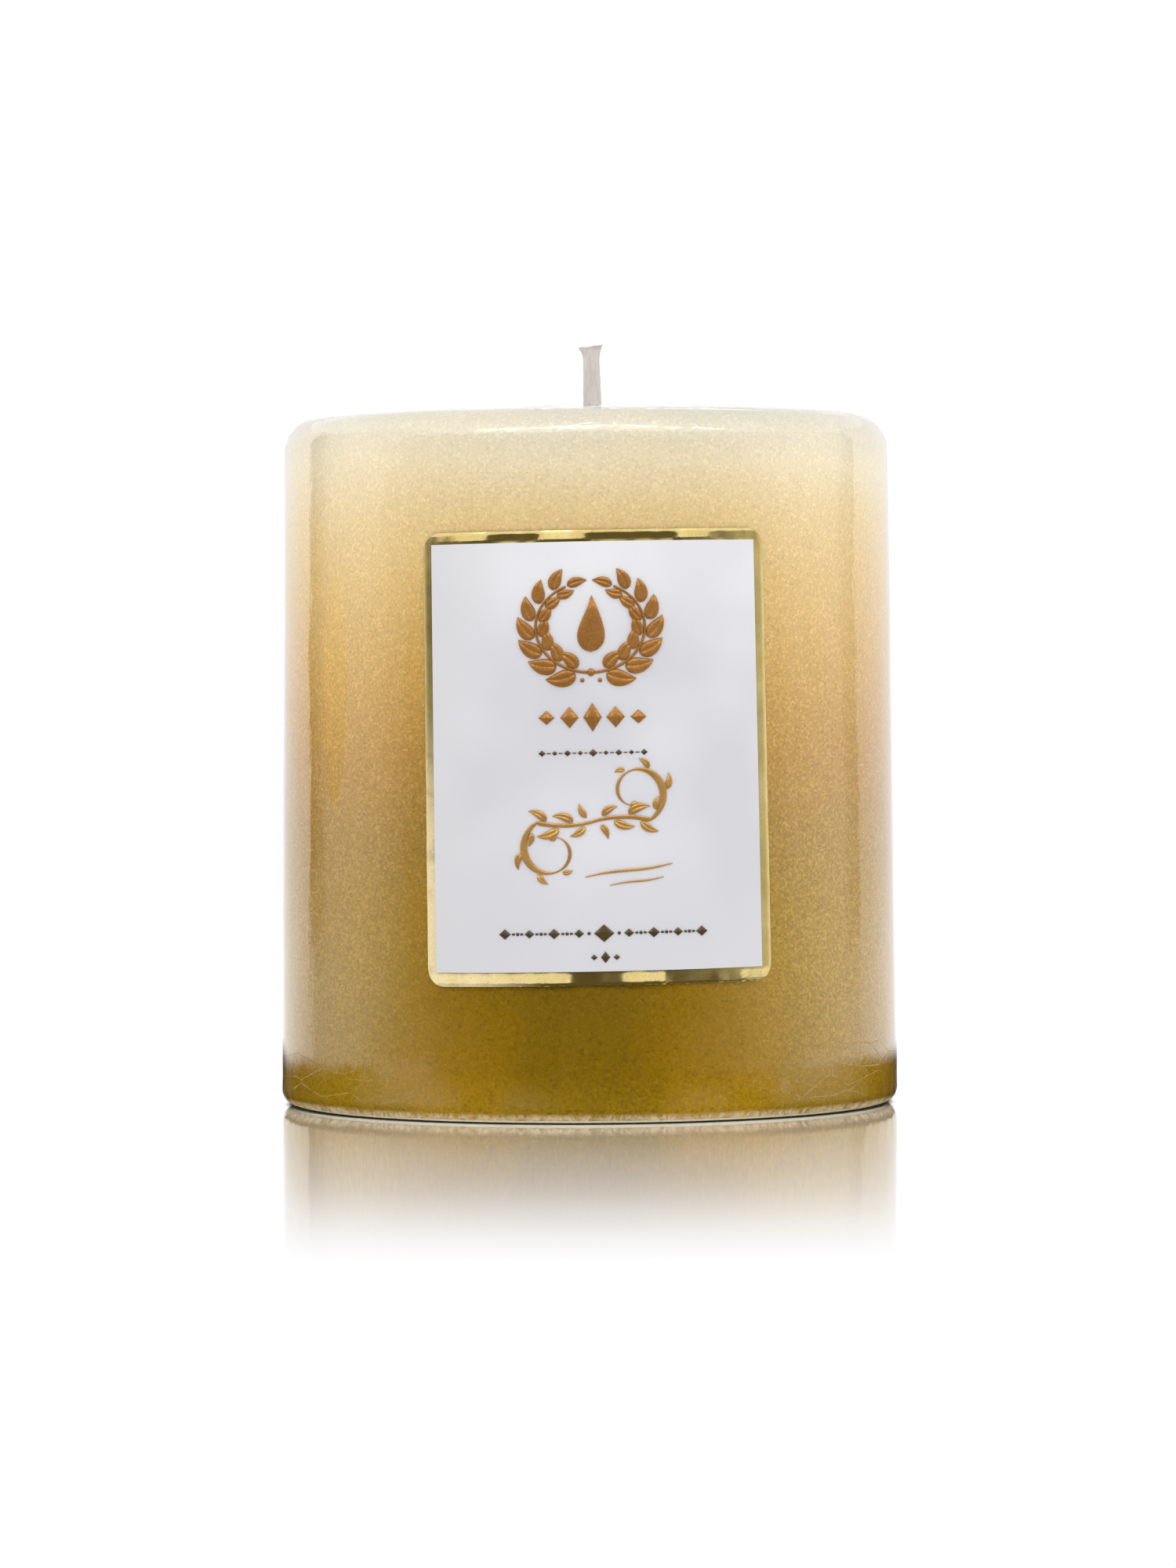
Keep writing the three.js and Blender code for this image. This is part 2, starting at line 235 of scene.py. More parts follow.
def bead_part(u, v, radius, lift=0.3, seg=20):
    """Low dome for berries and dots."""
    rings = [(1.0, 0.0), (1.0, 0.06), (0.93, 0.16), (0.78, 0.24), (0.5, 0.30), (0.22, 0.33)]
    verts, faces = [], []
    a = np.arange(seg) * 2 * math.pi / seg
    for scale, height in rings:
        h = MARK_LOW + height / 0.33 * lift if height else MARK_LOW
        x, y, z = on_side(u + radius * scale * np.cos(a), v + radius * scale * np.sin(a), np.full(seg, h))
        verts += list(zip(x, y, z))
    for i in range(len(rings) - 1):
        for j in range(seg):
            k = (j + 1) % seg
            faces.append((i * seg + j, i * seg + k, (i + 1) * seg + k, (i + 1) * seg + j))
    for row, h in ((0, MARK_LOW), (len(rings) - 1, MARK_LOW + lift)):
        centre = len(verts)
        x, y, z = on_side(np.array([u]), np.array([v]), np.array([h]))
        verts.append((x[0], y[0], z[0]))
        for j in range(seg):
            faces.append((row * seg + j, row * seg + (j + 1) % seg, centre))
    return verts, faces


def joined(name, parts, sharp=30.0):
    verts, faces = [], []
    for v, f in parts:
        off = len(verts)
        verts += v
        faces += [tuple(i + off for i in face) for face in f]
    return finish_mesh(name, verts, faces, sharp)


def place(obj, nodes, material):
    obj.data.materials.clear()
    obj.data.materials.append(material)
    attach(obj, "root")
    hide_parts(*nodes)
    return obj


# ---------------------------------------------------------------- material helpers

def srgb(r, g, b):
    out = []
    for c in (r, g, b):
        c = c / 255.0
        out.append(c / 12.92 if c <= 0.04045 else ((c + 0.055) / 1.055) ** 2.4)
    return (*out, 1.0)


class Nodes:
    """Short hand for building a node tree."""

    def __init__(self, name):
        self.mat = bpy.data.materials.new(name)
        self.mat.use_nodes = True
        self.tree = self.mat.node_tree
        self.tree.nodes.clear()
        self.out = self.tree.nodes.new("ShaderNodeOutputMaterial")
        self.coord = None

    def add(self, kind, inputs=None, **props):
        node = self.tree.nodes.new(kind)
        for key, value in props.items():
            setattr(node, key, value)
        for key, value in (inputs or {}).items():
            self.put(node, key, value)
        return node

    def put(self, node, key, value):
        socket = node.inputs[key]
        if isinstance(value, bpy.types.NodeSocket):
            self.tree.links.new(value, socket)
        else:
            socket.default_value = value

    def obj(self):
        if self.coord is None:
            self.coord = self.tree.nodes.new("ShaderNodeTexCoord")
        return self.coord.outputs["Object"]

    def noise(self, scale, detail=2.0, rough=0.5, vector=None, distortion=0.0):
        n = self.add("ShaderNodeTexNoise", {
            "Vector": vector or self.obj(), "Scale": scale, "Detail": detail,
            "Roughness": rough, "Distortion": distortion})
        return n.outputs["Fac"]

    def voronoi(self, scale, output="Distance", feature="F1", vector=None):
        n = self.add("ShaderNodeTexVoronoi", {"Vector": vector or self.obj(), "Scale": scale}, feature=feature)
        return n.outputs[output]

    def scaled(self, x, y, z):
        return self.add("ShaderNodeMapping", {"Vector": self.obj(), "Scale": (x, y, z)}).outputs["Vector"]

    def math(self, op, a, b=0.0, c=0.0, clamp=False):
        n = self.add("ShaderNodeMath", operation=op, use_clamp=clamp)
        for i, value in enumerate((a, b, c)):
            if i < len(n.inputs):
                self.put(n, i, value)
        return n.outputs[0]

    def span(self, value, a, b, c=0.0, d=1.0, smooth=False):
        n = self.add("ShaderNodeMapRange", {"Value": value, "From Min": a, "From Max": b, "To Min": c, "To Max": d},
                     interpolation_type="SMOOTHSTEP" if smooth else "LINEAR")
        return n.outputs["Result"]

    def xyz(self):
        n = self.add("ShaderNodeSeparateXYZ", {"Vector": self.obj()})
        return n.outputs["X"], n.outputs["Y"], n.outputs["Z"]

    def ramp(self, value, stops, interpolation="LINEAR"):
        n = self.add("ShaderNodeValToRGB", {"Fac": value})
        ramp = n.color_ramp
        ramp.interpolation = interpolation
        while len(ramp.elements) > 1:
            ramp.elements.remove(ramp.elements[-1])
        ramp.elements[0].position, ramp.elements[0].color = stops[0]
        for pos, color in stops[1:]:
            e = ramp.elements.new(pos)
            e.color = color
        return n.outputs["Color"]

    def mix(self, fac, a, b, blend="MIX"):
        n = self.add("ShaderNodeMix", data_type="RGBA", blend_type=blend, clamp_factor=True)
        self.put(n, 0, fac)
        self.put(n, 6, a)
        self.put(n, 7, b)
        return n.outputs[2]

    def bump(self, height, strength, distance, normal=None):
        inputs = {"Height": height, "Strength": strength, "Distance": distance}
        if normal is not None:
            inputs["Normal"] = normal
        return self.add("ShaderNodeBump", inputs).outputs["Normal"]

    def principled(self, **inputs):
        names = {k.replace("_", " "): v for k, v in inputs.items()}
        n = self.add("ShaderNodeBsdfPrincipled")
        for key, value in names.items():
            self.put(n, key, value)
        return n.outputs["BSDF"]

    def done(self, shader):
        self.tree.links.new(shader, self.out.inputs["Surface"])
        return self.mat


def grey(v):
    return (v, v, v, 1.0)


# ---------------------------------------------------------------- materials

def coat_material():
    """Pearl and gold spray over ivory wax: ombre from ivory to deep olive gold, with a fine flake grain."""
    n = Nodes("gold_ombre_coat")
    x, y, z = n.xyz()
    cloud = n.noise(60.0, 3.0, 0.55)
    streak = n.noise(1.0, 3.0, 0.6, vector=n.scaled(900.0, 900.0, 40.0))
    level = n.span(z, 0.0, BODY_H * MM)
    level = n.math("ADD", level, n.math("MULTIPLY_ADD", cloud, 0.05, -0.025))
    level = n.math("ADD", level, n.math("MULTIPLY_ADD", streak, 0.024, -0.012))
    H = BODY_H
    stops = [
        (0 / H, (0.445, 0.274, 0.015, 1.0)), (5.5 / H, (0.326, 0.173, 0.002, 1.0)), (13 / H, (0.272, 0.146, 0.003, 1.0)),
        (21 / H, (0.296, 0.162, 0.008, 1.0)), (30 / H, (0.372, 0.192, 0.015, 1.0)), (40 / H, (0.528, 0.265, 0.029, 1.0)),
        (50 / H, (0.714, 0.416, 0.072, 1.0)), (59 / H, (0.844, 0.563, 0.176, 1.0)), (66 / H, (0.913, 0.685, 0.317, 1.0)),
        (72 / H, (0.960, 0.820, 0.562, 1.0)), (75.5 / H, (0.875, 0.80, 0.628, 1.0)), (77.7 / H, (0.731, 0.682, 0.562, 1.0)),
    ]
    base = n.ramp(level, stops)
    fine = n.noise(3000.0, 4.0, 0.75)
    flake = n.voronoi(4400.0, "Color", "F1")
    flake_value = n.add("ShaderNodeSeparateColor", {"Color": flake}).outputs["Red"]
    amount = n.span(z, 0.030, 0.076, 1.0, 0.25)
    dark = n.math("MULTIPLY", n.span(fine, 0.52, 0.34), amount, clamp=True)
    light = n.math("MULTIPLY", n.span(flake_value, 0.70, 1.0), amount, clamp=True)
    base = n.mix(n.math("MULTIPLY", dark, 0.80), base, n.mix(1.0, base, srgb(172, 156, 112), "MULTIPLY"))
    base = n.mix(n.math("MULTIPLY", light, 0.75), base, n.mix(1.0, base, (1.75, 1.7, 1.6, 1.0), "MULTIPLY"))
    base = n.mix(n.math("MULTIPLY", light, 0.018), base, srgb(214, 206, 190))
    mottle = n.noise(260.0, 4.0, 0.6)
    base = n.mix(n.span(mottle, 0.35, 0.75, 0.0, 0.10), base, n.mix(1.0, base, srgb(235, 225, 205), "MULTIPLY"))
    # lighter patches low on the wax: the two either side of the front are painted sheen, the others uneven spray
    turn = n.math("ARCTAN2", x, n.math("MULTIPLY", y, -1.0))
    sheen_and_spray_patches = 0.0
    for mid, half, z_mid, z_half, weight in ((-0.47, 0.33, 0.0140, 0.0200, 0.85), (0.42, 0.36, 0.0130, 0.0200, 1.0),
                                             (1.75, 0.45, 0.0160, 0.0220, 0.7), (-1.70, 0.40, 0.0180, 0.0200, 0.7),
                                             (2.85, 0.45, 0.0130, 0.0200, 0.8)):
        da = n.math("DIVIDE", n.math("SUBTRACT", turn, mid), half)
        dz = n.math("DIVIDE", n.math("SUBTRACT", z, z_mid), z_half)
        away = n.math("ADD", n.math("MULTIPLY", da, da), n.math("MULTIPLY", dz, dz))
        away = n.math("MULTIPLY_ADD", n.math("SUBTRACT", cloud, 0.5), 0.8, away)
        sheen_and_spray_patches = n.math("MAXIMUM", n.span(away, 1.0, 0.0, 0.0, weight, smooth=True), sheen_and_spray_patches)
    base = n.mix(sheen_and_spray_patches, base, n.mix(1.0, base, (1.46, 1.36, 1.1, 1.0), "MULTIPLY"))
    normal = n.bump(n.math("ADD", fine, n.math("MULTIPLY", flake_value, 0.4)), 0.30, 0.00003)
    body = n.principled(
        Base_Color=base, Metallic=0.0, Roughness=0.6, Specular_IOR_Level=0.05,
        Sheen_Weight=0.02, Sheen_Roughness=0.4, Sheen_Tint=(1.0, 0.86, 0.66, 1.0), Normal=normal)
    # the flakes lie flat in the spray and reflect as one broad satin layer
    tint = n.ramp(n.span(z, 0.0, BODY_H * MM), [
        (0.0, (1.0, 0.64, 0.015, 1.0)), (0.30, (1.0, 0.64, 0.05, 1.0)), (0.55, (1.0, 0.72, 0.27, 1.0)),
        (0.72, (1.0, 0.88, 0.62, 1.0)), (0.84, (1.0, 0.94, 0.82, 1.0)), (1.0, (1.0, 1.0, 0.96, 1.0))])
    share = n.ramp(n.span(z, 0.0, BODY_H * MM), [
        (0.0, grey(0.34)), (0.06, grey(0.43)), (0.20, grey(0.44)), (0.42, grey(0.28)), (0.60, grey(0.20)), (0.85, grey(0.11)),
        (1.0, grey(0.05))])
    share = n.math("MULTIPLY", share, n.span(flake_value, 0.0, 1.0, 0.52, 1.48))
    tint = n.mix(n.math("MULTIPLY", light, n.span(z, 0.012, 0.034, 0.08, 0.22)), tint, (1.0, 0.88, 0.66, 1.0))
    satin = n.add("ShaderNodeBsdfGlossy", {"Color": tint, "Roughness": 0.40, "Normal": normal}).outputs[0]
    shader = n.add("ShaderNodeMixShader", {0: share, 1: body, 2: satin}).outputs[0]
    return n.done(shader)


def film_material():
    """Clear shrink film: see-through, with a Fresnel reflection, creases at its gathered hems, hairline creases, a
    painted highlight along the base hem and painted reflection patches at its foot.
    """
    n = Nodes("clear_shrink_film")
    x, y, z = n.xyz()
    wrinkle = n.noise(1.0, 3.0, 0.55, vector=n.scaled(260.0, 260.0, 90.0), distortion=0.6)
    hair = n.add("ShaderNodeTexVoronoi", {"Vector": n.scaled(120.0, 120.0, 420.0), "Scale": 1.0},
                 feature="DISTANCE_TO_EDGE").outputs["Distance"]
    hair = n.span(hair, 0.0, 0.03, 1.0, 0.0, smooth=True)
    hems = n.math("ADD", n.span(z, 0.0035, 0.0008), n.span(z, 0.0745, 0.0765), clamp=True)
    height = n.math("MULTIPLY_ADD", hair, n.math("MULTIPLY_ADD", hems, 0.4, 0.05), wrinkle)
    strand = n.noise(1.0, 3.0, 0.6, vector=n.scaled(70.0, 70.0, 1700.0), distortion=0.4)
    height = n.math("MULTIPLY_ADD", strand, n.math("MULTIPLY", n.span(z, 0.0742, 0.0758, smooth=True), 1.3), height)
    normal = n.bump(height, 0.10, 0.0005)
    fresnel = n.add("ShaderNodeFresnel", {"IOR": 1.46, "Normal": normal}).outputs["Fac"]
    back = n.add("ShaderNodeNewGeometry").outputs["Backfacing"]
    # two faces, so nearly twice the reflection of one
    twice = n.math("DIVIDE", n.math("MULTIPLY", fresnel, 2.0), n.math("ADD", fresnel, 1.0))
    fac = n.math("MULTIPLY", twice, n.math("SUBTRACT", 1.0, back), clamp=True)
    turn = n.math("ARCTAN2", x, n.math("MULTIPLY", y, -1.0))
    for mid, half, z_mid, z_half, share in ((-0.942, 0.072, 0.0475, 0.0120, 0.55), (2.25, 0.11, 0.031, 0.0150, 0.45),
                                            (-2.50, 0.085, 0.052, 0.0100, 0.40)):
        da = n.math("DIVIDE", n.math("SUBTRACT", turn, mid), half)
        dz = n.math("DIVIDE", n.math("SUBTRACT", z, z_mid), z_half)
        away = n.math("SQRT", n.math("ADD", n.math("MULTIPLY", da, da), n.math("MULTIPLY", dz, dz)))
        away = n.math("MULTIPLY_ADD", wrinkle, 0.35, away)
        fac = n.math("MULTIPLY", fac, n.span(away, 1.10, 1.24, 1.0 - share, 1.0, smooth=True))
    gloss = n.add("ShaderNodeBsdfGlossy", {"Color": (1.0, 1.0, 1.0, 1.0), "Roughness": 0.045, "Normal": normal})
    clear = n.add("ShaderNodeBsdfTransparent", {"Color": (0.995, 0.995, 0.99, 1.0)})
    film = n.add("ShaderNodeMixShader", {0: fac, 1: clear.outputs[0], 2: gloss.outputs[0]})
    # pale crinkled line where the film is gathered under the base edge: a painted highlight
    crinkle = n.noise(1.0, 4.0, 0.7, vector=n.scaled(1500.0, 1500.0, 500.0), distortion=0.8)
    low = n.span(z, 0.0013, 0.0006, smooth=True)
    under = n.span(z, 0.0002, 0.0005)
    hem_highlight = n.math("MULTIPLY", n.math("MULTIPLY", low, under), n.span(crinkle, 0.38, 0.62, 0.05, 1.0), clamp=True)
    hem_highlight = n.math("MULTIPLY", hem_highlight, 0.5)
    white = n.add("ShaderNodeBsdfDiffuse", {"Color": (0.82, 0.66, 0.40, 1.0)})
    both = n.add("ShaderNodeMixShader", {0: hem_highlight, 1: film.outputs[0], 2: white.outputs[0]}).outputs[0]
    # low beige patches at the foot of the candle where the film stands off the wax: a painted reflection
    standoff_reflection = 0.0
    for mid, half, tall, weight in ((-0.62, 0.24, 0.0064, 1.0), (-0.20, 0.12, 0.0034, 0.3), (0.36, 0.14, 0.0036, 0.35),
                                    (0.84, 0.27, 0.0070, 1.0), (1.45, 0.14, 0.0050, 0.7), (2.35, 0.17, 0.0060, 0.8),
                                    (-1.35, 0.12, 0.0046, 0.6), (-2.25, 0.15, 0.0058, 0.8), (3.00, 0.10, 0.0040, 0.6)):
        da = n.math("DIVIDE", n.math("SUBTRACT", turn, mid), half)
        dz = n.math("DIVIDE", n.math("SUBTRACT", z, 0.0008), tall)
        away = n.math("ADD", n.math("MULTIPLY", da, da), n.math("MULTIPLY", dz, dz))
        away = n.math("MULTIPLY_ADD", wrinkle, 0.9, away)
        one = n.span(away, 1.75, 0.35, 0.0, weight, smooth=True)
        standoff_reflection = n.math("MAXIMUM", one, standoff_reflection)
    standoff_reflection = n.math("MULTIPLY", standoff_reflection, n.span(z, 0.0012, 0.0022, 0.0, 0.17))
    standoff_reflection = n.math("MULTIPLY", standoff_reflection, n.span(crinkle, 0.30, 0.65, 0.75, 1.1), clamp=True)
    beige = n.add("ShaderNodeBsdfDiffuse", {"Color": srgb(206, 176, 112)})
    both = n.add("ShaderNodeMixShader", {0: standoff_reflection, 1: both, 2: beige.outputs[0]}).outputs[0]
    return n.done(both)


def wax_material():
    n = Nodes("ivory_wax")
    cloud = n.noise(90.0, 4.0, 0.6)
    fine = n.noise(1400.0, 3.0, 0.6)
    base = n.ramp(cloud, [(0.30, srgb(236, 224, 196)), (0.55, srgb(242, 233, 211)), (0.75, srgb(246, 240, 224))])
    base = n.mix(n.span(fine, 0.55, 0.8, 0.0, 0.25), base, srgb(250, 246, 236))
    normal = n.bump(n.math("MULTIPLY_ADD", cloud, 3.0, fine), 0.25, 0.0002)
    return n.done(n.principled(
        Base_Color=base, Roughness=n.span(fine, 0.3, 0.7, 0.42, 0.6), Subsurface_Weight=0.25,
        Subsurface_Radius=(1.0, 0.7, 0.4), Subsurface_Scale=0.004, Specular_IOR_Level=0.4, Normal=normal))


def wick_material():
    n = Nodes("waxed_cotton_wick")
    x, y, z = n.xyz()
    fibre = n.noise(1.0, 4.0, 0.65, vector=n.scaled(5200.0, 5200.0, 420.0))
    wax = n.noise(420.0, 3.0, 0.5)
    base = n.ramp(fibre, [(0.25, srgb(188, 179, 176)), (0.5, srgb(211, 205, 203)), (0.8, srgb(224, 220, 219))])
    base = n.mix(n.span(wax, 0.45, 0.75, 0.0, 0.35), base, srgb(229, 219, 213))
    cut = n.span(z, 0.0855, 0.0863, smooth=True)
    base = n.mix(n.math("MULTIPLY", cut, 0.55), base, srgb(170, 160, 158))
    root = n.span(z, 0.0795, 0.0774, smooth=True)
    base = n.mix(n.math("MULTIPLY", root, 0.35), base, srgb(236, 224, 198))
    normal = n.bump(fibre, 0.5, 0.00006)
    return n.done(n.principled(
        Base_Color=base, Roughness=n.span(wax, 0.3, 0.7, 0.55, 0.36), Subsurface_Weight=0.12,
        Subsurface_Radius=(1.0, 0.8, 0.7), Subsurface_Scale=0.001, Specular_IOR_Level=0.35, Normal=normal))


def steel_material():
    n = Nodes("tinned_steel")
    brush = n.noise(1.0, 3.0, 0.6, vector=n.scaled(400.0, 5200.0, 400.0))
    spot = n.noise(900.0, 3.0, 0.5)
    base = n.ramp(spot, [(0.3, srgb(150, 153, 156)), (0.6, srgb(176, 179, 182)), (0.85, srgb(190, 192, 194))])
    return n.done(n.principled(
        Base_Color=base, Metallic=0.95, Roughness=n.span(brush, 0.3, 0.7, 0.26, 0.42),
        Normal=n.bump(brush, 0.2, 0.00003)))


def paper_material(name, tint, shade, grain=1.0):
    n = Nodes(name)
    x, y, z = n.xyz()
    pulp = n.noise(2600.0, 4.0, 0.65)
    fibre = n.noise(1.0, 3.0, 0.6, vector=n.scaled(900.0, 900.0, 2400.0))
    cloud = n.noise(55.0, 2.0, 0.5)
    # soft blotches of painted shade across the paper
    base = n.mix(n.span(cloud, 0.35, 0.7), shade, tint)
    # painted shade: darker towards the bottom
    base = n.mix(n.span(z, 0.046, 0.018, 0.0, 0.75, smooth=True), base, shade)
    # painted light: lighter towards the top
    base = n.mix(n.span(z, 0.048, 0.062, 0.0, 0.40, smooth=True), base, srgb(245, 245, 247))
    # painted shade: a little darker on the left
    base = n.mix(n.span(x, -0.006, -0.019, 0.0, 0.65, smooth=True), base, n.mix(1.0, shade, srgb(253, 251, 247), "MULTIPLY"))
    base = n.mix(n.span(pulp, 0.52, 0.8, 0.0, 0.10 * grain), base, srgb(188, 189, 194))
    normal = n.bump(n.math("ADD", pulp, n.math("MULTIPLY", fibre, 0.5)), 0.22 * grain, 0.00003)
    return n.done(n.principled(
        Base_Color=base, Roughness=n.span(pulp, 0.3, 0.7, 0.46, 0.62), Specular_IOR_Level=0.25, Normal=normal))


def foil_material(name, color, deep, rough, grain, metallic, wear=0.0, spec_bump=0.15, grain_scale=5200.0):
    """Hot-stamped foil: metal with a fine press grain and slight unevenness of tone."""
    n = Nodes(name)
    press = n.noise(grain_scale, 2.0, 0.7)
    spread = n.noise(330.0, 4.0, 0.6)
    scuff_and_painted_reflection = n.noise(1.0, 5.0, 0.7, vector=n.scaled(700.0, 700.0, 2100.0))
    base = n.mix(n.span(spread, 0.35, 0.7), deep, color)
    base = n.mix(n.span(press, 0.45, 0.75, 0.0, grain), base, n.mix(1.0, base, srgb(150, 132, 104), "MULTIPLY"))
    if wear:
        base = n.mix(n.span(scuff_and_painted_reflection, 0.70, 0.78, 0.0, wear), base, srgb(226, 222, 216))
    normal = n.bump(n.math("MULTIPLY_ADD", spread, 0.5, press), spec_bump, 0.00004)
    return n.done(n.principled(
        Base_Color=base, Metallic=metallic, Roughness=n.span(press, 0.3, 0.7, rough * 0.8, rough * 1.25),
        Specular_IOR_Level=0.3, Normal=normal))


M_COAT = coat_material()
M_FILM = film_material()
M_WAX = wax_material()
M_WICK = wick_material()
M_STEEL = steel_material()
M_PANEL = paper_material("label_white_paper", srgb(228, 228, 232), srgb(209, 209, 214))
M_BASE_LABEL = paper_material("base_label_paper", srgb(232, 230, 226), srgb(220, 217, 210), 1.6)


def stock_material():
    """Mirror gold foil, with a painted reflection: pale satin patches low down on its left border and on the left of
    its bottom border.
    """
    n = Nodes("mirror_gold_foil")
    x, y, z = n.xyz()
    press = n.noise(5200.0, 2.0, 0.7)
    spread = n.noise(330.0, 4.0, 0.6)
    base = n.mix(n.span(spread, 0.35, 0.7), srgb(234, 209, 136), srgb(248, 229, 166))
    base = n.mix(n.span(press, 0.45, 0.75, 0.0, 0.25), base, n.mix(1.0, base, srgb(150, 132, 104), "MULTIPLY"))
    # painted reflection: pale satin low on the left border and on the left of the bottom border, in place of bright
    # surroundings reflected there
    scuff_and_painted_reflection = n.math("MULTIPLY", n.span(x, -0.0150, -0.0168, smooth=True), n.span(z, 0.050, 0.026, smooth=True))
    scuff_and_painted_reflection = n.math("MAXIMUM", scuff_and_painted_reflection, n.math("MULTIPLY", n.span(z, 0.0172, 0.0160), n.span(x, -0.005, -0.012, 0.0, 0.75)))
    scuff_and_painted_reflection = n.math("MULTIPLY", scuff_and_painted_reflection, n.span(spread, 0.30, 0.50, 0.55, 1.0), clamp=True)
    normal = n.bump(n.math("MULTIPLY_ADD", spread, 0.5, press), 0.06, 0.00004)
    mirror = n.principled(Base_Color=base, Metallic=1.0, Roughness=n.span(press, 0.3, 0.7, 0.10, 0.16),
                          Specular_IOR_Level=0.3, Normal=normal)
    pale = n.principled(Base_Color=n.mix(n.span(press, 0.40, 0.75), srgb(244, 228, 184), srgb(226, 200, 140)),
                        Metallic=0.0, Roughness=0.45, Specular_IOR_Level=0.2, Normal=normal)
    # the lacquer over the foil scatters a little, so the gold never goes fully dark
    lacquer = n.add("ShaderNodeBsdfDiffuse", {"Color": srgb(206, 172, 84)})
    mirror = n.add("ShaderNodeMixShader", {0: 0.14, 1: mirror, 2: lacquer.outputs[0]}).outputs[0]
    return n.done(n.add("ShaderNodeMixShader", {0: n.math("MULTIPLY", scuff_and_painted_reflection, 0.85), 1: mirror, 2: pale}).outputs[0])


M_STOCK = stock_material()
M_BRONZE = foil_material("matte_bronze_foil", srgb(196, 138, 70), srgb(178, 122, 58), 0.42, 0.55, 0.45, wear=0.5, spec_bump=0.4)
M_SCRIPT = foil_material("satin_gold_foil", srgb(220, 172, 100), srgb(200, 150, 82), 0.34, 0.40, 0.45, wear=0.2)
M_TAUPE = foil_material("dark_taupe_foil", srgb(104, 86, 54), srgb(86, 70, 44), 0.40, 0.35, 0.35)

# ---------------------------------------------------------------- pillar


def top_relief(r):
    """The cast top: a shallow dish and a small fillet of wax drawn up round the wick."""
    dish = -0.32 * step01(r, 21.5, 8.0) * step01(r, 1.0, 6.0)
    fillet = 0.55 * np.exp(-np.maximum(r - BORE_R, 0.0) / 1.1)
    return np.where(r < 22.0, dish + fillet, 0.0)


def drift_x(r, z, reach=9.0):
    return DRIFT * np.clip(z, 0.0, BODY_H) / BODY_H * step01(r, reach, 2.4)


def pillar_move(relief_from):
    def move(r, z, theta):
        zz = np.where(z > relief_from, z + top_relief(r), z)
        x = r * np.sin(theta) + drift_x(r, z)
        return x, -r * np.cos(theta), zz
    return move


def side_rows(d, count):
    z0, z1 = BASE_ROUND, BODY_H - RIM_Z
    r0, r1 = R_BASE - d, R_TOP - d
    return [(r0 + (r1 - r0) * i / count, z0 + (z1 - z0) * i / count) for i in range(1, count)]


def top_rows(d, r_from, r_to, count):
    z = BODY_H - d
    return [(r_from + (r_to - r_from) * (i / count), z) for i in range(1, count + 1)]


rim_r_inner = R_TOP - RIM_R

coat_outer = ([base_corner(a, D_COAT) for a in (60, 45, 30, 15, 0)] + side_rows(D_COAT, 40)
              + [rim_corner(a, D_COAT) for a in range(0, 91, 9)]
              + top_rows(D_COAT, rim_r_inner, 9.0, 16) + top_rows(D_COAT, 9.0, BORE_R, 14))
d_in = D_COAT + COAT_T
coat_inner = ([base_corner(a, d_in) for a in (60, 45, 30, 15, 0)] + side_rows(d_in, 40)
              + [rim_corner(a, d_in) for a in range(0, 91, 9)]
              + top_rows(d_in, rim_r_inner, 9.0, 16) + top_rows(d_in, 9.0, BORE_R, 14))
coat = revolve("ombre_coat", coat_outer + coat_inner[::-1], 288, pillar_move(BODY_H - 0.9), sharp=50.0)
place(coat, ["gold_coat"], M_COAT)

tab_lo, tab_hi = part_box("wick_tab")
POCKET_R = tab_hi[0] / MM + 0.45
POCKET_TOP = 1.20
NECK_R = 2.30
NECK_TOP = tab_hi[2] / MM + 0.45
core_loop = (
    [(POCKET_R + (33.2 - POCKET_R) * i / 12, D_COAT) for i in range(13)]
    + [base_corner(a, D_COAT) for a in (78, 66)]
    + [base_corner(a, D_CORE) for a in (60, 45, 30, 15, 0)] + side_rows(D_CORE, 24)
    + [rim_corner(a, D_CORE) for a in range(0, 91, 10)]
    + top_rows(D_CORE, rim_r_inner, 9.0, 12) + top_rows(D_CORE, 9.0, BORE_R, 12)
    + [(BORE_R, BODY_H - D_CORE - (BODY_H - D_CORE - NECK_TOP) * i / 12) for i in range(1, 13)]
    + [(NECK_R, NECK_TOP), (NECK_R, (NECK_TOP + POCKET_TOP) / 2), (NECK_R, POCKET_TOP),
       (POCKET_R * 0.6, POCKET_TOP), (POCKET_R, POCKET_TOP)])
core = revolve("cast_wax_core", core_loop, 192, pillar_move(BODY_H - 0.9), sharp=40.0)
place(core, ["wax_core"], M_WAX)

# ---------------------------------------------------------------- film

FILM_SEG = 480
film_side = 46
LIP_TOP_R, LIP_BASE_R = 23.5, 24.0


def film_rows(d):
    flat = [(LIP_BASE_R + (33.2 - LIP_BASE_R) * i / 6, d) for i in range(6)]
    top = top_rows(d, rim_r_inner, LIP_TOP_R, 12)
    return (flat + [base_corner(a, d) for a in range(90, -1, -10)] + side_rows(d, film_side)
            + [rim_corner(a, d) for a in range(0, 91, 6)] + top)


film_outer = film_rows(0.0)
film_inner = film_rows(FILM_T)


def label_clear(theta, z):
    """1 well away from the label, 0 under it."""
    s = np.arctan2(np.sin(theta), np.cos(theta)) * MID_R - SHIFT
    du = np.abs(s) - LABEL_W / 2
    dv = np.abs(z - MID_Z) - LABEL_H / 2
    return step01(np.maximum(du, dv), 0.3, 3.0)


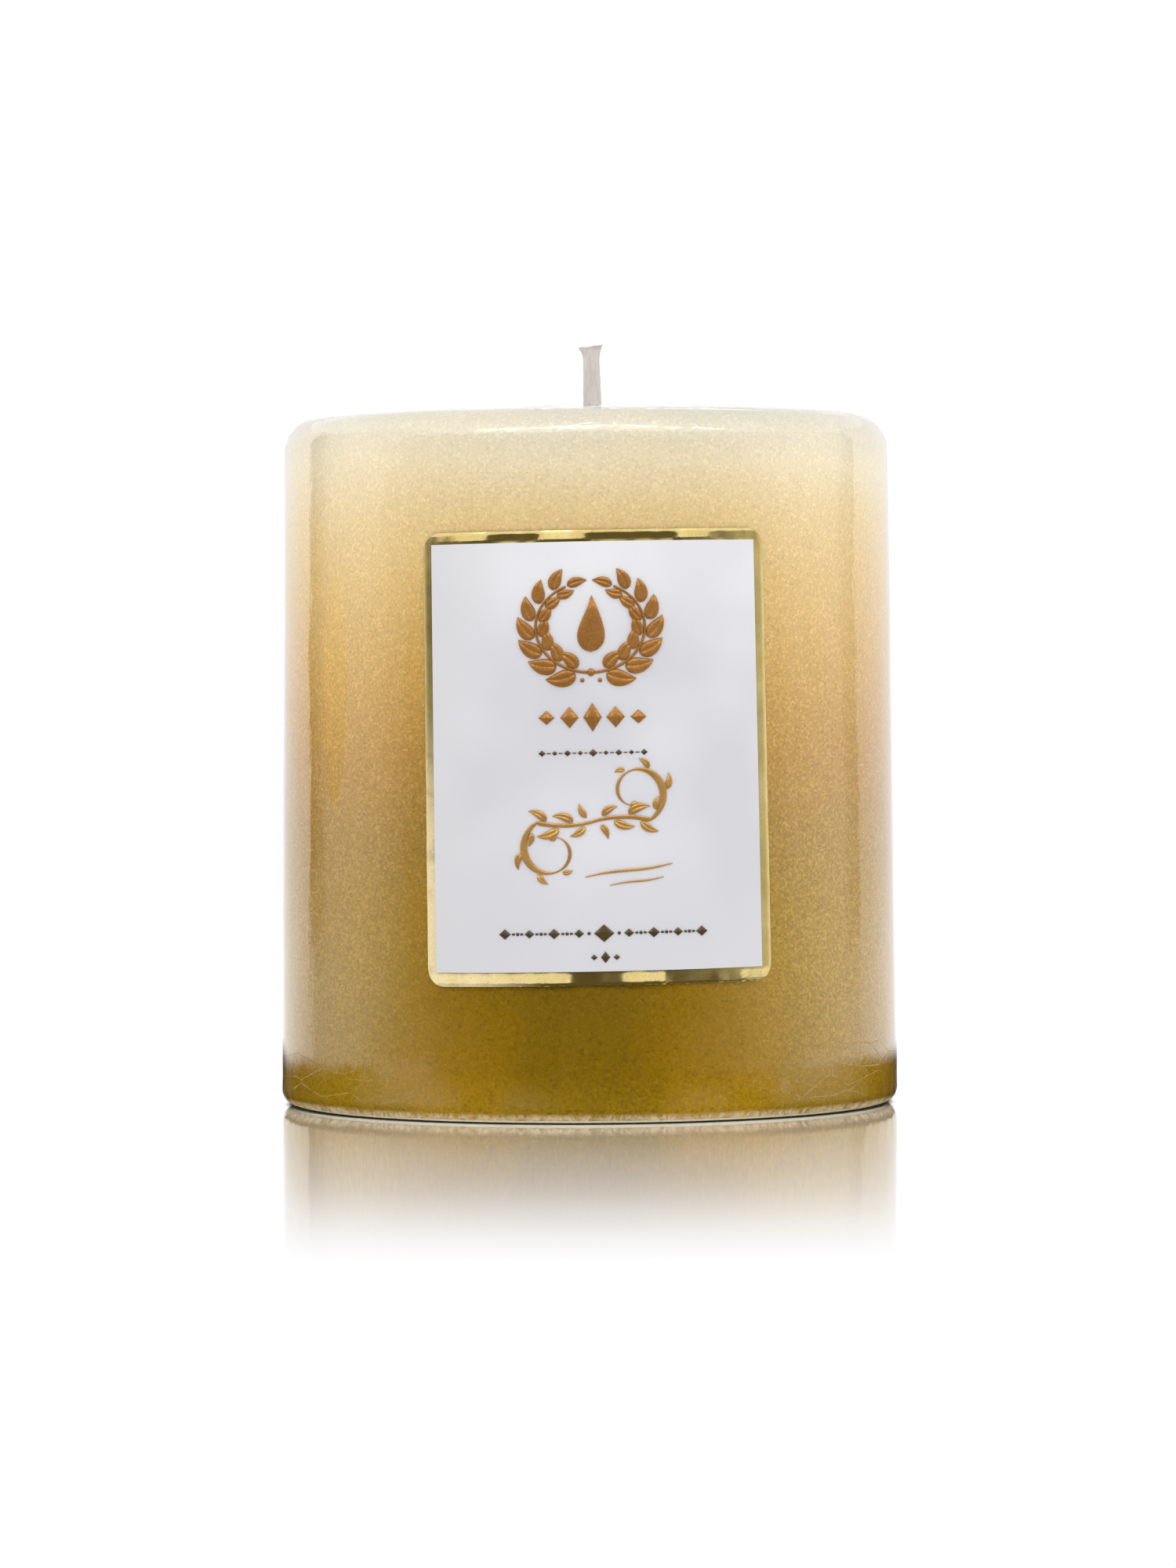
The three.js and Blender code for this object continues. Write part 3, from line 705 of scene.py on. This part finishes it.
def film_move(r, z, theta):
    # outward swell of the film, the same on both faces so that it keeps its thickness
    side = step01(z, 2.0, 5.0) * step01(z, 76.0, 72.0)
    swell = 0.045 * (1.0 + 0.55 * waves(theta, z, 11, 10, 2, 9, 0.22)) * side
    swell = swell + 0.020 * (1.0 + 0.6 * waves(theta, z, 12, 10, 8, 22, 0.5, 0.1)) * side
    swell = swell * (0.15 + 0.85 * label_clear(theta, z))
    # strands that run round the shoulder
    shoulder = step01(z, 73.6, 75.0) * step01(r, 30.0, 32.2)
    swell = swell + 0.050 * (1.0 + 0.8 * waves(theta, z, 13, 8, 1, 7, 5.2, 2.4)) * shoulder
    # gathers of the top hem, deeper towards its edge
    top = step01(r, 32.6, 24.5) * (z > 70.0)
    gathers = np.abs(waves(theta, r * 0.25, 14, 9, 26, 62, 0.8))
    swell = swell + (0.05 + 0.20 * gathers) * top
    # crinkles at the base edge
    hem = step01(z, 3.2, 1.5) * step01(z, 0.05, 0.7)
    swell = swell + 0.035 * (1.0 + waves(theta, z, 15, 9, 50, 105, 1.6)) * hem
    swell = np.maximum(swell, 0.0)
    # direction of the swell: outwards on the side, upwards on the top
    up = step01(z, BODY_H - RIM_Z, BODY_H - 0.2) * step01(r, 34.4, 31.2)
    up = np.where(r < rim_r_inner + 0.3, 1.0, up) * (z > 60.0)
    dz = swell * up
    dr = swell * np.sqrt(np.maximum(0.0, 1.0 - up * up)) * (z > 0.3)
    # the hem's edge wanders and lifts, most at the back right
    edge = step01(r, 27.5, 23.5) * (z > 70.0)
    wander = 0.5 * waves(theta, theta * 0.0, 16, 6, 2, 9, 0.0)
    lift_at = np.exp(-((np.arctan2(np.sin(theta - 0.95), np.cos(theta - 0.95))) / 0.75) ** 2)
    shoulder_lift = step01(r, 33.4, 31.0) * (z > 74.0)
    dr = dr + edge * wander * 0.7
    dz = dz + edge * 0.16 * (1.0 + waves(theta, theta * 0.0, 17, 6, 3, 11, 0.0)).clip(0.0, 3.0)
    dz = dz + 0.30 * lift_at * shoulder_lift * (0.7 + 0.3 * gathers)
    rr = r + dr
    return rr * np.sin(theta), -rr * np.cos(theta), z + dz


film = revolve("clear_film_sleeve", film_outer + film_inner[::-1], FILM_SEG, film_move, sharp=60.0)
place(film, ["shrink_film"], M_FILM)

# ---------------------------------------------------------------- wick


def make_wick():
    z0, z1 = 0.45, 86.4
    rows = np.concatenate([np.linspace(z0, 77.0, 120, endpoint=False), np.linspace(77.0, 86.12, 60)])
    seg = 40
    phi = np.arange(seg) * 2 * math.pi / seg
    verts, faces = [], []
    for z in rows:
        cx = np.interp(z, [0.0, 77.74, 79.5, 83.0, 85.0, 86.1], [0.0, 0.85, 0.74, 0.68, 0.63, 0.56])
        half = np.interp(z, [0.0, 77.0, 79.0, 83.0, 84.9, 85.35, 85.75, 86.12],
                         [1.05, 1.05, 1.06, 0.96, 0.93, 1.02, 1.20, 1.36])
        deep = np.interp(z, [0.0, 79.0, 84.9, 86.12], [0.92, 0.92, 0.84, 0.74])
        c, s = np.cos(phi), np.sin(phi)
        k = 2 * math.pi / 2.7
        braid = np.maximum(np.cos(2 * phi + k * z), np.cos(2 * phi - k * z + math.pi))
        strong = np.interp(z, [0.0, 77.0, 80.0, 86.0], [0.050, 0.050, 0.022, 0.03])
        fibre = 0.012 * np.sin(9 * phi + 0.8 * np.sin(0.9 * z)) + 0.008 * np.sin(15 * phi - 0.5 * z)
        r = 1.0 + strong * (braid - 0.6) + fibre
        x = cx + half * r * c
        y = deep * min(half, 1.08) * r * s
        zz = np.full(seg, z)
        # the cut slants up towards +X, with a small flick at that corner
        t = np.clip((z - 84.6) / (86.12 - 84.6), 0.0, 1.0)
        zz = zz + t * t * (0.02 + 0.16 * c + 0.12 * np.maximum(c, 0.0) ** 6 + 0.06 * np.sin(4 * phi))
        verts += list(zip(x, y, zz))
    n = len(rows)
    for i in range(n - 1):
        for j in range(seg):
            k2 = (j + 1) % seg
            faces.append((i * seg + j, i * seg + k2, (i + 1) * seg + k2, (i + 1) * seg + j))
    # cut face: rings to the centre, with the ends of the strands
    last = (n - 1) * seg
    ring = np.array(verts[last:last + seg])
    centre = ring.mean(axis=0)
    rng = np.random.default_rng(5)
    prev = last
    for scale in (0.86, 0.66, 0.44, 0.22):
        p = centre + (ring - centre) * scale
        p[:, 2] += -0.05 * (1 - scale) + 0.05 * np.sin(3 * phi + 5 * scale) + rng.uniform(-0.03, 0.03, seg)
        start = len(verts)
        verts += [tuple(q) for q in p]
        for j in range(seg):
            k2 = (j + 1) % seg
            faces.append((prev + j, prev + k2, start + k2, start + j))
        prev = start
    tip = len(verts)
    verts.append((centre[0], centre[1], centre[2] - 0.06))
    for j in range(seg):
        faces.append((prev + j, prev + (j + 1) % seg, tip))
    foot = len(verts)
    verts.append((0.0, 0.0, z0))
    for j in range(seg):
        faces.append((j, (j + 1) % seg, foot))
    return finish_mesh("waxed_braid_wick", verts, faces, sharp=60.0)


place(make_wick(), ["wick"], M_WICK)

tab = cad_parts["wick_tab"]
if tab.material_slots:
    for slot in tab.material_slots:
        slot.material = M_STEEL
else:
    tab.data.materials.append(M_STEEL)

# ---------------------------------------------------------------- base label

label_loop = [(0.0, 0.03), (8.0, 0.03), (15.0, 0.03), (19.9, 0.03), (20.0, 0.045), (20.0, 0.085), (19.9, 0.10),
              (15.0, 0.10), (8.0, 0.10), (0.0, 0.10)]


def disc(name, loop, seg):
    verts = [(0.0, 0.0, loop[0][1]), (0.0, 0.0, loop[-1][1])]
    faces = []
    inner = loop[1:-1]
    for r, z in inner:
        for j in range(seg):
            a = 2 * math.pi * j / seg
            verts.append((r * math.sin(a), -r * math.cos(a), z))
    n = len(inner)
    for i in range(n - 1):
        for j in range(seg):
            k = (j + 1) % seg
            faces.append((2 + i * seg + j, 2 + i * seg + k, 2 + (i + 1) * seg + k, 2 + (i + 1) * seg + j))
    for j in range(seg):
        k = (j + 1) % seg
        faces.append((2 + j, 2 + k, 0))
        faces.append((2 + (n - 1) * seg + j, 2 + (n - 1) * seg + k, 1))
    return finish_mesh(name, verts, faces, sharp=40.0)


place(disc("base_seal_label", label_loop, 144), ["base_label"], M_BASE_LABEL)

# ---------------------------------------------------------------- front label


def stock_grid():
    hw, hh, c = LABEL_W / 2, LABEL_H / 2, LABEL_CORNER
    corner = [c * (1 - math.cos(math.radians(a))) for a in range(0, 91, 9)]
    low = [-hh + q for q in corner]
    step = 0.42
    count = int((2 * hh - 2 * c) / step)
    mid = [-hh + c + (2 * hh - 2 * c) * i / count for i in range(1, count)]
    rows = np.array(low + mid + [-q for q in low[::-1]])
    inset = np.zeros_like(rows)
    for i, v in enumerate(rows):
        over = abs(v) - (hh - c)
        if over > 0:
            inset[i] = c - math.sqrt(max(0.0, c * c - over * over))
    edge = [0.0, 0.10, 0.28, 0.5, 0.75, 1.0]
    inner = np.linspace(-hw + 1.25, hw - 1.25, 84)
    cols = np.array([-hw + e for e in edge] + list(inner) + [hw - e for e in edge[::-1]])
    u = cols[None, :] * (1.0 - inset[:, None] / hw)
    v = np.repeat(rows[:, None], len(cols), axis=1)
    return u, v


def foil_height(u, v):
    """Mirror foil is never flat: its borders tip up or down along the label, which breaks the reflection up."""
    hh, hw = LABEL_H / 2, LABEL_W / 2
    h = np.full_like(u, H_STOCK[1])
    s_top = [-19.5, -16.2, -15.4, -13.6, -12.2, -11.4, -6.2, -5.6, -2.7, -2.2, -1.2, -0.4, 8.8, 9.4, 11.4, 12.6, 13.6, 19.5]
    k_top = [0.03, 0.03, 0.09, 0.10, 0.08, -0.03, -0.03, 0.13, 0.15, 0.07, 0.07, -0.04, -0.04, 0.08, 0.09, 0.05, -0.02, -0.02]
    s_bot = [-19.5, -3.4, -2.4, -0.9, -0.4, 1.6, 2.4, 6.8, 7.4, 12.0, 12.8, 15.4, 16.0, 19.5]
    k_bot = [0.14, 0.15, -0.05, -0.04, 0.06, 0.06, 0.14, 0.14, -0.04, -0.03, 0.08, 0.07, 0.14, 0.13]
    top_w, bot_w = hh - PANEL[3], hh + PANEL[2]
    ripple = np.sin(2.1 * u + 0.6 * np.sin(0.9 * u)) + 0.7 * np.sin(4.7 * u + 1.3) + 0.5 * np.sin(9.1 * u + 0.4)
    t = np.clip((v - PANEL[3]) / top_w, 0.0, 1.0)
    on = v > PANEL[3] - 0.15
    k = np.interp(u, s_top, k_top) + 0.018 * ripple
    h = np.where(on, h + (k * top_w * (1.0 - t)).clip(-0.03, 0.22), h)
    t = np.clip((PANEL[2] - v) / bot_w, 0.0, 1.0)
    on = v < PANEL[2] + 0.15
    # on the lower border a face that looks up rises towards the outside
    k = np.interp(u, s_bot, k_bot) + 0.018 * ripple
    h = np.where(on, h + (k * bot_w * t).clip(-0.03, 0.24), h)
    # side borders: long slow waves
    out = step01(np.abs(u), hw - 1.5, hw - 0.2) * (np.abs(v) < hh - 1.0)
    h = h + out * 0.020 * (np.sin(0.45 * v + 0.7) + 0.6 * np.sin(1.3 * v + 2.0) + 0.35 * np.sin(3.1 * v))
    # rolled edge left by the die cut
    d = np.minimum(hw - np.abs(u), hh - np.abs(v))
    return h - 0.045 * step01(d, 0.26, 0.0)


su, sv = stock_grid()
stock = slab("label_gold_stock", su, sv, np.full_like(su, H_STOCK[0]),
             np.maximum(foil_height(su, sv), H_STOCK[0] + 0.03), sharp=55.0)
place(stock, ["label_foil_stock"], M_STOCK)


def panel_grid():
    u0, u1, v0, v1 = PANEL
    edge = [0.0, 0.06, 0.16, 0.4]
    us = np.array([u0 + e for e in edge] + list(np.linspace(u0 + 0.9, u1 - 0.9, 90)) + [u1 - e for e in edge[::-1]])
    vs = np.array([v0 + e for e in edge] + list(np.linspace(v0 + 0.9, v1 - 0.9, 112)) + [v1 - e for e in edge[::-1]])
    return np.meshgrid(us, vs)


pu, pv = panel_grid()
d_edge = np.minimum(np.minimum(pu - PANEL[0], PANEL[1] - pu), np.minimum(pv - PANEL[2], PANEL[3] - pv))
panel_top = (H_PANEL[1] - 0.03 * step01(d_edge, 0.14, 0.0)
             + 0.006 * np.sin(0.31 * pu + 0.2) * np.sin(0.23 * pv + 1.0))
panel = slab("label_white_panel", pu, pv, np.full_like(pu, H_PANEL[0]), panel_top, sharp=55.0)
place(panel, ["label_panel"], M_PANEL)

# ---------------------------------------------------------------- ornaments

WU, WV = -0.6, 14.1


def leaf(u, v, angle, length, half, bend=0.25, n=16, profile=VEIN):
    pts = []
    for i in range(n + 1):
        t = i / n
        a = angle + bend * (t - 0.5)
        w = half * max(0.0, math.sin(math.pi * t ** 0.72)) ** 0.85
        pts.append((u + length * t * math.cos(a), v + length * t * math.sin(a), max(w, 0.03)))
    return ribbon_part(pts, profile, 0.30)


def wreath():
    parts = []
    for side in (-1, 1):
        stem = []
        for i in range(41):
            t = i / 40
            a = math.radians(-90 + side * (4 + 150 * t))
            stem.append((WU + 5.9 * math.cos(a), WV + 4.9 * math.sin(a), 0.13 + 0.05 * (1 - t)))
        parts.append(ribbon_part(stem, DOME, 0.16))
        for i in range(7):
            t = (i + 0.55) / 7.2
            a = math.radians(-90 + side * (4 + 150 * t))
            cu, cv = WU + 5.9 * math.cos(a), WV + 4.9 * math.sin(a)
            along = a + side * math.pi / 2
            size = 1.0 - 0.28 * t
            for lean, out in ((0.62, 1), (-0.62, -1)):
                direction = along - side * lean
                du = 0.32 * out * math.cos(a)
                dv = 0.32 * out * math.sin(a)
                grow = 1.0 if out > 0 else 0.78
                parts.append(leaf(cu + du, cv + dv, direction, 3.35 * size * grow, 0.95 * size * grow,
                                  bend=side * 0.35 * out))
        a = math.radians(-90 + side * 156)
        cu, cv = WU + 5.9 * math.cos(a), WV + 4.9 * math.sin(a)
        parts.append(leaf(cu, cv, a + side * math.pi / 2, 2.2, 0.55, bend=side * 0.3))
    parts.append(bead_part(WU, WV - 4.9, 0.42))
    parts.append(bead_part(WU - 0.95, WV - 5.75, 0.24, 0.2))
    parts.append(bead_part(WU + 0.95, WV - 5.75, 0.24, 0.2))
    return joined("laurel_wreath", parts)


place(wreath(), ["wreath_foil"], M_BRONZE)

flame_pts = []
for i in range(29):
    t = i / 28
    w = 0.04 + 1.62 * math.sin(math.pi * t ** 0.62) * (1 - 0.35 * t)
    flame_pts.append((WU + 0.34 * math.sin(2.6 * t) * t, WV - 2.7 + 6.1 * t, w))
flame_parts = [ribbon_part(flame_pts, DOME, 0.34)]
place(joined("candle_flame", flame_parts), ["flame_foil"], M_BRONZE)


def diamond_row(name, u0, u1, v, sizes, hair, material, nodes, n=24, lift=0.26, beads=0.0):
    parts = []
    width = (u1 - u0) / len(sizes)
    for i, size in enumerate(sizes):
        mid = u0 + width * (i + 0.5)
        reach = min(width * 0.40, size * 1.15)
        pts = []
        for j in range(n + 1):
            t = j / n
            pts.append((mid - reach + 2 * reach * t, v, max(0.03, size * (1 - abs(2 * t - 1)))))
        parts.append(ribbon_part(pts, ROOF, lift))
        if i < len(sizes) - 1:
            nxt = sizes[i + 1]
            a = mid + reach + 0.16
            b = mid + width - min(width * 0.40, nxt * 1.15) - 0.16
            if b - a > 0.3:
                if beads:
                    parts.append(bead_part((a + b) / 2, v, beads, 0.16, 16))
                    a1, b1 = (a + b) / 2 - beads - 0.12, (a + b) / 2 + beads + 0.12
                    if a1 - a > 0.15:
                        parts.append(ribbon_part([(a, v, hair), (a1, v, hair)], DOME, 0.08))
                        parts.append(ribbon_part([(b1, v, hair), (b, v, hair)], DOME, 0.08))
                else:
                    parts.append(ribbon_part([(a, v, hair), ((a + b) / 2, v, hair), (b, v, hair)], DOME, 0.08))
    obj = joined(name, parts)
    return place(obj, nodes, material)


diamond_row("title_diamonds", -6.7, 5.65, 4.35, [0.75, 1.15, 1.55, 1.15, 0.75], 0.12, M_BRONZE,
            ["title_band_foil"], lift=0.32, beads=0.20)
diamond_row("caption_beads", -6.7, 5.65, 0.5, [0.32, 0.24, 0.32, 0.24, 0.4, 0.24, 0.32, 0.24, 0.32], 0.05,
            M_TAUPE, ["caption_rule_foil"], n=12, lift=0.12)
diamond_row("footer_diamonds", -11.7, 12.3, -19.0, [0.55, 0.45, 0.55, 0.45, 0.95, 0.45, 0.55, 0.45, 0.55], 0.11,
            M_TAUPE, ["footer_band_foil"], n=16, lift=0.16, beads=0.18)
diamond_row("footer_small_diamonds", -1.4, 2.2, -21.6, [0.3, 0.62, 0.3], 0.06, M_TAUPE,
            ["footer_diamond_foil"], n=12, lift=0.14)


def flourish():
    c, d = math.cos(math.radians(16)), math.sin(math.radians(16))
    R, CX, CY = 3.4, 5.2, 1.7
    start = math.radians(-78)
    entry = (CX + R * math.cos(start), CY + R * math.sin(start))

    def point(k, turns=330, R=R, CX=CX, CY=CY):
        side = -1 if k < 0 else 1
        m = abs(k)
        if m < 0.4:
            q = m / 0.4
            p = (entry[0] * q, entry[1] * q * q)
        else:
            q = (m - 0.4) / 0.6
            turn = start + math.radians(turns) * q
            r = R * (1 - 0.6 * q)
            p = (CX + r * math.cos(turn), CY + r * math.sin(turn))
        return (-0.6 + side * (c * p[0] - d * p[1]), -6.9 + side * (d * p[0] + c * p[1]))

    pts = []
    n = 150
    raw = [point(2 * i / n - 1) for i in range(n + 1)]
    for i, (u, v) in enumerate(raw):
        t = i / n
        j, k = max(0, i - 1), min(n, i + 1)
        du, dv = raw[k][0] - raw[j][0], raw[k][1] - raw[j][1]
        heading = math.atan2(dv, du)
        pen = abs(math.sin(heading - math.radians(20)))      # broad on the strokes that a pen presses
        taper = min(1.0, 6.0 * t, 6.0 * (1 - t))
        pts.append((u, v, (0.07 + 0.30 * pen ** 1.6 + 0.10 * math.sin(math.pi * t) ** 2) * max(0.25, taper)))
    parts = [ribbon_part(pts, DOME, 0.18)]

    def along(k):
        (ua, va), (ub, vb) = point(k - 0.004), point(k + 0.004)
        return (*point(k), math.atan2(vb - va, ub - ua))

    # leaves spring from both sides of the stem, smaller towards the curls
    for sgn in (-1, 1):
        for m, side, length, half in ((0.07, 1, 1.9, 0.40), (0.15, -1, 2.3, 0.46), (0.25, 1, 2.5, 0.50), (0.34, -1, 2.2, 0.44),
                                      (0.44, 1, 1.5, 0.33), (0.52, -1, 1.8, 0.38), (0.62, -1, 1.5, 0.34), (0.72, -1, 1.1, 0.28)):
            u, v, heading = along(sgn * m)
            heading += 0.0 if sgn > 0 else math.pi
            turn = heading + side * 0.62
            parts.append(leaf(u + side * 0.34 * -math.sin(heading), v + side * 0.34 * math.cos(heading), turn,
                              length, half, bend=-side * 0.5, n=14))
        u, v, heading = along(sgn * 0.995)
        parts.append(bead_part(u, v, 0.42, 0.24, 24))
    parts.append(leaf(-0.6 - 0.75, -6.9 + 0.42, math.radians(128), 1.7, 0.36, bend=-0.4, n=14))
    parts.append(leaf(-0.6 + 0.75, -6.9 - 0.42, math.radians(-52), 1.7, 0.36, bend=-0.4, n=14))
    return joined("pen_flourish", parts)


place(flourish(), ["flourish_foil"], M_SCRIPT)

swash_parts = []
for du, dv, w, cut in ((0.0, 0.0, 1.0, 1.0), (2.6, -0.95, 0.7, 0.62)):
    pts = []
    for i in range(49):
        t = i / 48
        pts.append((-1.6 + du + 9.4 * cut * t, -12.9 + dv + 1.3 * cut * t + 0.12 * math.sin(2 * math.pi * t) * cut,
                    (0.05 + 0.11 * math.sin(math.pi * t)) * w))
    swash_parts.append(ribbon_part(pts, DOME, 0.1))
place(joined("pen_swash", swash_parts), ["swash_foil"], M_SCRIPT)

# ---------------------------------------------------------------- stage


def stage_mesh(name, verts, faces, material):
    mesh = bpy.data.meshes.new(name)
    mesh.from_pydata(verts, [], faces)
    mesh.materials.append(material)
    obj = bpy.data.objects.new(name, mesh)
    bpy.context.scene.collection.objects.link(obj)
    return obj


def stage_disc(name, radius, z, material, seg=96, hole=0.0):
    if hole:
        verts, faces = [], []
        for j in range(seg):
            a = 2 * math.pi * j / seg
            verts.append((hole * math.cos(a), hole * math.sin(a), z))
            verts.append((radius * math.cos(a), radius * math.sin(a), z))
        for j in range(seg):
            k = (j + 1) % seg
            faces.append((2 * j, 2 * j + 1, 2 * k + 1, 2 * k))
        return stage_mesh(name, verts, faces, material)
    verts = [(radius * math.cos(2 * math.pi * j / seg), radius * math.sin(2 * math.pi * j / seg), z) for j in range(seg)]
    return stage_mesh(name, verts, [tuple(range(seg))], material)


def only(obj, camera=False, diffuse=False, glossy=False, transmission=False, shadow=False):
    obj.visible_camera = camera
    obj.visible_diffuse = diffuse
    obj.visible_glossy = glossy
    obj.visible_transmission = transmission
    obj.visible_volume_scatter = False
    obj.visible_shadow = shadow


def floor_material():
    """Gloss white table: pure white, with a painted contact shadow under the candle's foot and a mirror image of what
    stands on it that dies away with distance.
    """
    n = Nodes("gloss_white_floor")
    x, y, z = n.xyz()
    r = n.math("SQRT", n.math("ADD", n.math("MULTIPLY", x, x), n.math("MULTIPLY", y, y)))
    t = n.span(r, 0.035, 0.180)
    keep = n.ramp(t, [(0.0, grey(1.0)), (0.07, grey(0.97)), (0.18, grey(0.93)), (0.31, grey(0.84)),
                      (0.44, grey(0.75)), (0.555, grey(0.64)), (0.72, grey(0.39)), (0.86, grey(0.16)), (1.0, grey(0.0))])
    fres = n.add("ShaderNodeFresnel", {"IOR": 1.9}).outputs["Fac"]
    # a glancing look shows the mirror image, a steep one hardly any of it
    fres = n.math("MULTIPLY", fres, n.span(fres, 0.12, 0.55, 0.10, 1.0))
    fac = n.math("MULTIPLY", keep, n.math("MULTIPLY", fres, 1.34), clamp=True)
    white = n.add("ShaderNodeEmission", {"Color": grey(1.0), "Strength": 1.0}).outputs[0]
    gloss = n.add("ShaderNodeBsdfGlossy", {"Color": (1.0, 0.996, 0.965, 1.0), "Roughness": 0.05}).outputs[0]
    mixed = n.add("ShaderNodeMixShader", {0: fac, 1: white, 2: gloss}).outputs[0]
    # painted contact shadow: a dark olive disc glowing its own colour under the foot, fading out just past its edge
    dark = n.add("ShaderNodeEmission", {"Color": srgb(46, 40, 22), "Strength": 1.0}).outputs[0]
    contact_shadow = n.span(r, 0.0338, 0.0350, 1.0, 0.0, smooth=True)
    mixed = n.add("ShaderNodeMixShader", {0: contact_shadow, 1: mixed, 2: dark}).outputs[0]
    clear = n.add("ShaderNodeBsdfTransparent").outputs[0]
    back = n.add("ShaderNodeNewGeometry").outputs["Backfacing"]
    n.mat.cycles.emission_sampling = "NONE"
    return n.done(n.add("ShaderNodeMixShader", {0: back, 1: mixed, 2: clear}).outputs[0])


def plain_material(name, value):
    n = Nodes(name)
    return n.done(n.add("ShaderNodeBsdfDiffuse", {"Color": grey(value)}).outputs[0])


def screen_material():
    """A dark screen round the front for the gloss to reflect, thinner towards its sides. It shines for the floor only."""
    n = Nodes("studio_screen")
    x, y, z = n.xyz()
    az = n.math("ARCTAN2", x, n.math("MULTIPLY", y, -1.0))
    t = n.span(az, -math.pi, math.pi)

    def at(deg):
        return (deg + 180.0) / 360.0

    upper = n.ramp(t, [
        (0.0, grey(0.16)), (at(-127.8), grey(0.18)), (at(-126.8), grey(0.94)), (at(-119), grey(0.76)), (at(-113), grey(0.42)),
        (at(-95), grey(0.18)), (at(-84), grey(0.26)), (at(-72), grey(0.64)), (at(-58), grey(0.90)), (at(-40), grey(1.0)),
        (at(34), grey(1.0)), (at(50), grey(0.84)), (at(66), grey(0.52)), (at(80), grey(0.20)), (at(98), grey(0.06)),
        (at(108), grey(0.12)), (at(113), grey(0.42)), (at(119.6), grey(0.60)), (at(120.6), grey(0.13)), (1.0, grey(0.13))])
    lower = n.ramp(t, [
        (0.0, grey(0.06)), (at(-123.6), grey(0.06)), (at(-122.8), grey(0.34)), (at(-110), grey(0.20)),
        (at(-95), grey(0.12)), (at(-84), grey(0.33)), (at(-73), grey(0.60)), (at(-56), grey(0.85)), (at(-36), grey(1.0)),
        (at(26), grey(1.0)), (at(46), grey(0.84)), (at(62), grey(0.64)), (at(76), grey(0.40)), (at(88), grey(0.14)),
        (at(105), grey(0.0)), (1.0, grey(0.06))])
    solid = n.mix(n.span(z, -0.050, 0.010, smooth=True), lower, upper)
    glow = n.add("ShaderNodeEmission", {"Color": grey(1.0), "Strength": 1.0}).outputs[0]
    clear = n.add("ShaderNodeBsdfTransparent").outputs[0]
    n.mat.cycles.emission_sampling = "NONE"
    return n.done(n.add("ShaderNodeMixShader", {0: solid, 1: clear, 2: glow}).outputs[0])


floor = stage_disc("Floor", 1.6, -0.00002, floor_material(), seg=128)
only(floor, camera=True)

screen_r, seg = 1.15, 144


def screen_ring(name, z0, z1, seen_bright_by):
    """A ring of the screen. The objects named see it lit; all others see it dark."""
    verts, faces = [], []
    for j in range(seg):
        a = 2 * math.pi * j / seg
        for z in (z0, z1):
            verts.append((screen_r * math.sin(a), -screen_r * math.cos(a), z))
    for j in range(seg):
        k = (j + 1) % seg
        faces.append((2 * j, 2 * k, 2 * k + 1, 2 * j + 1))
    ring = stage_mesh(name, verts, faces, M_SCREEN)
    only(ring, glossy=True)
    receivers = bpy.data.collections.new(name + "_lights")
    for obj in seen_bright_by:
        receivers.objects.link(obj)
    ring.light_linking.receiver_collection = receivers
    return ring


M_SCREEN = screen_material()
screen_ring("ScreenLow", -0.9, 0.20, [floor])
screen_ring("ScreenHigh", 0.20, 0.50, [floor, stock])

black = plain_material("black_card", 0.004)
soft = Nodes("soft_edged_card")
sx, sy, sz = soft.xyz()
sr = soft.math("SQRT", soft.math("ADD", soft.math("MULTIPLY", sx, sx), soft.math("MULTIPLY", sy, sy)))
s_turn = soft.math("ARCTAN2", sx, soft.math("MULTIPLY", sy, -1.0))
s_wave = soft.math("SINE", soft.math("MULTIPLY_ADD", s_turn, 5.0, 0.6))
s_wave = soft.math("MULTIPLY_ADD", soft.math("SINE", soft.math("MULTIPLY_ADD", s_turn, 11.0, 2.0)), 0.5, s_wave)
s_edge = soft.math("MULTIPLY_ADD", s_wave, 0.007, sr)
s_fade = soft.span(s_edge, 0.092, 0.160, 0.0, 1.0, smooth=True)
soft_card = soft.done(soft.add("ShaderNodeMixShader", {
    0: s_fade, 1: soft.add("ShaderNodeBsdfDiffuse", {"Color": grey(0.004)}).outputs[0],
    2: soft.add("ShaderNodeBsdfTransparent").outputs[0]}).outputs[0])
under = stage_disc("UnderCard", 0.175, -0.0012, soft_card, seg=96)
only(under, glossy=True)
# a black disc under the foot, seen only in reflections: a dark sheet standing in for the shade under the candle
contact_card = stage_disc("ContactCard", 0.0338, -0.0009, black, seg=96)
only(contact_card, glossy=True)

# ---------------------------------------------------------------- light

world = bpy.data.worlds.new("Studio")
bpy.context.scene.world = world
world.use_nodes = True
wt = world.node_tree
wt.nodes.clear()
w_out = wt.nodes.new("ShaderNodeOutputWorld")
w_bg = wt.nodes.new("ShaderNodeBackground")
w_bg.inputs["Color"].default_value = (1.0, 1.0, 1.0, 1.0)
w_bg.inputs["Strength"].default_value = 1.08
wt.links.new(w_bg.outputs[0], w_out.inputs["Surface"])


def area(name, at, size, size_y, power, diffuse):
    data = bpy.data.lights.new(name, "AREA")
    data.shape = "RECTANGLE"
    data.size, data.size_y = size, size_y
    data.energy = power
    obj = bpy.data.objects.new(name, data)
    bpy.context.scene.collection.objects.link(obj)
    at = Vector(at)
    obj.location = at
    obj.rotation_euler = (Vector((0.0, 0.0, 0.06)) - at).to_track_quat("-Z", "Y").to_euler()
    obj.visible_camera = False
    obj.visible_diffuse = diffuse
    return obj


# long strip above and in front: the bright line along the shoulder
area("StripFront", (0.10, -0.80, 0.78), 1.9, 0.07, 5.0, False)

bpy.context.scene.view_settings.view_transform = "Standard"
bpy.context.scene.view_settings.look = "None"
bpy.context.scene.view_settings.exposure = 0.0
bpy.context.scene.view_settings.gamma = 1.0
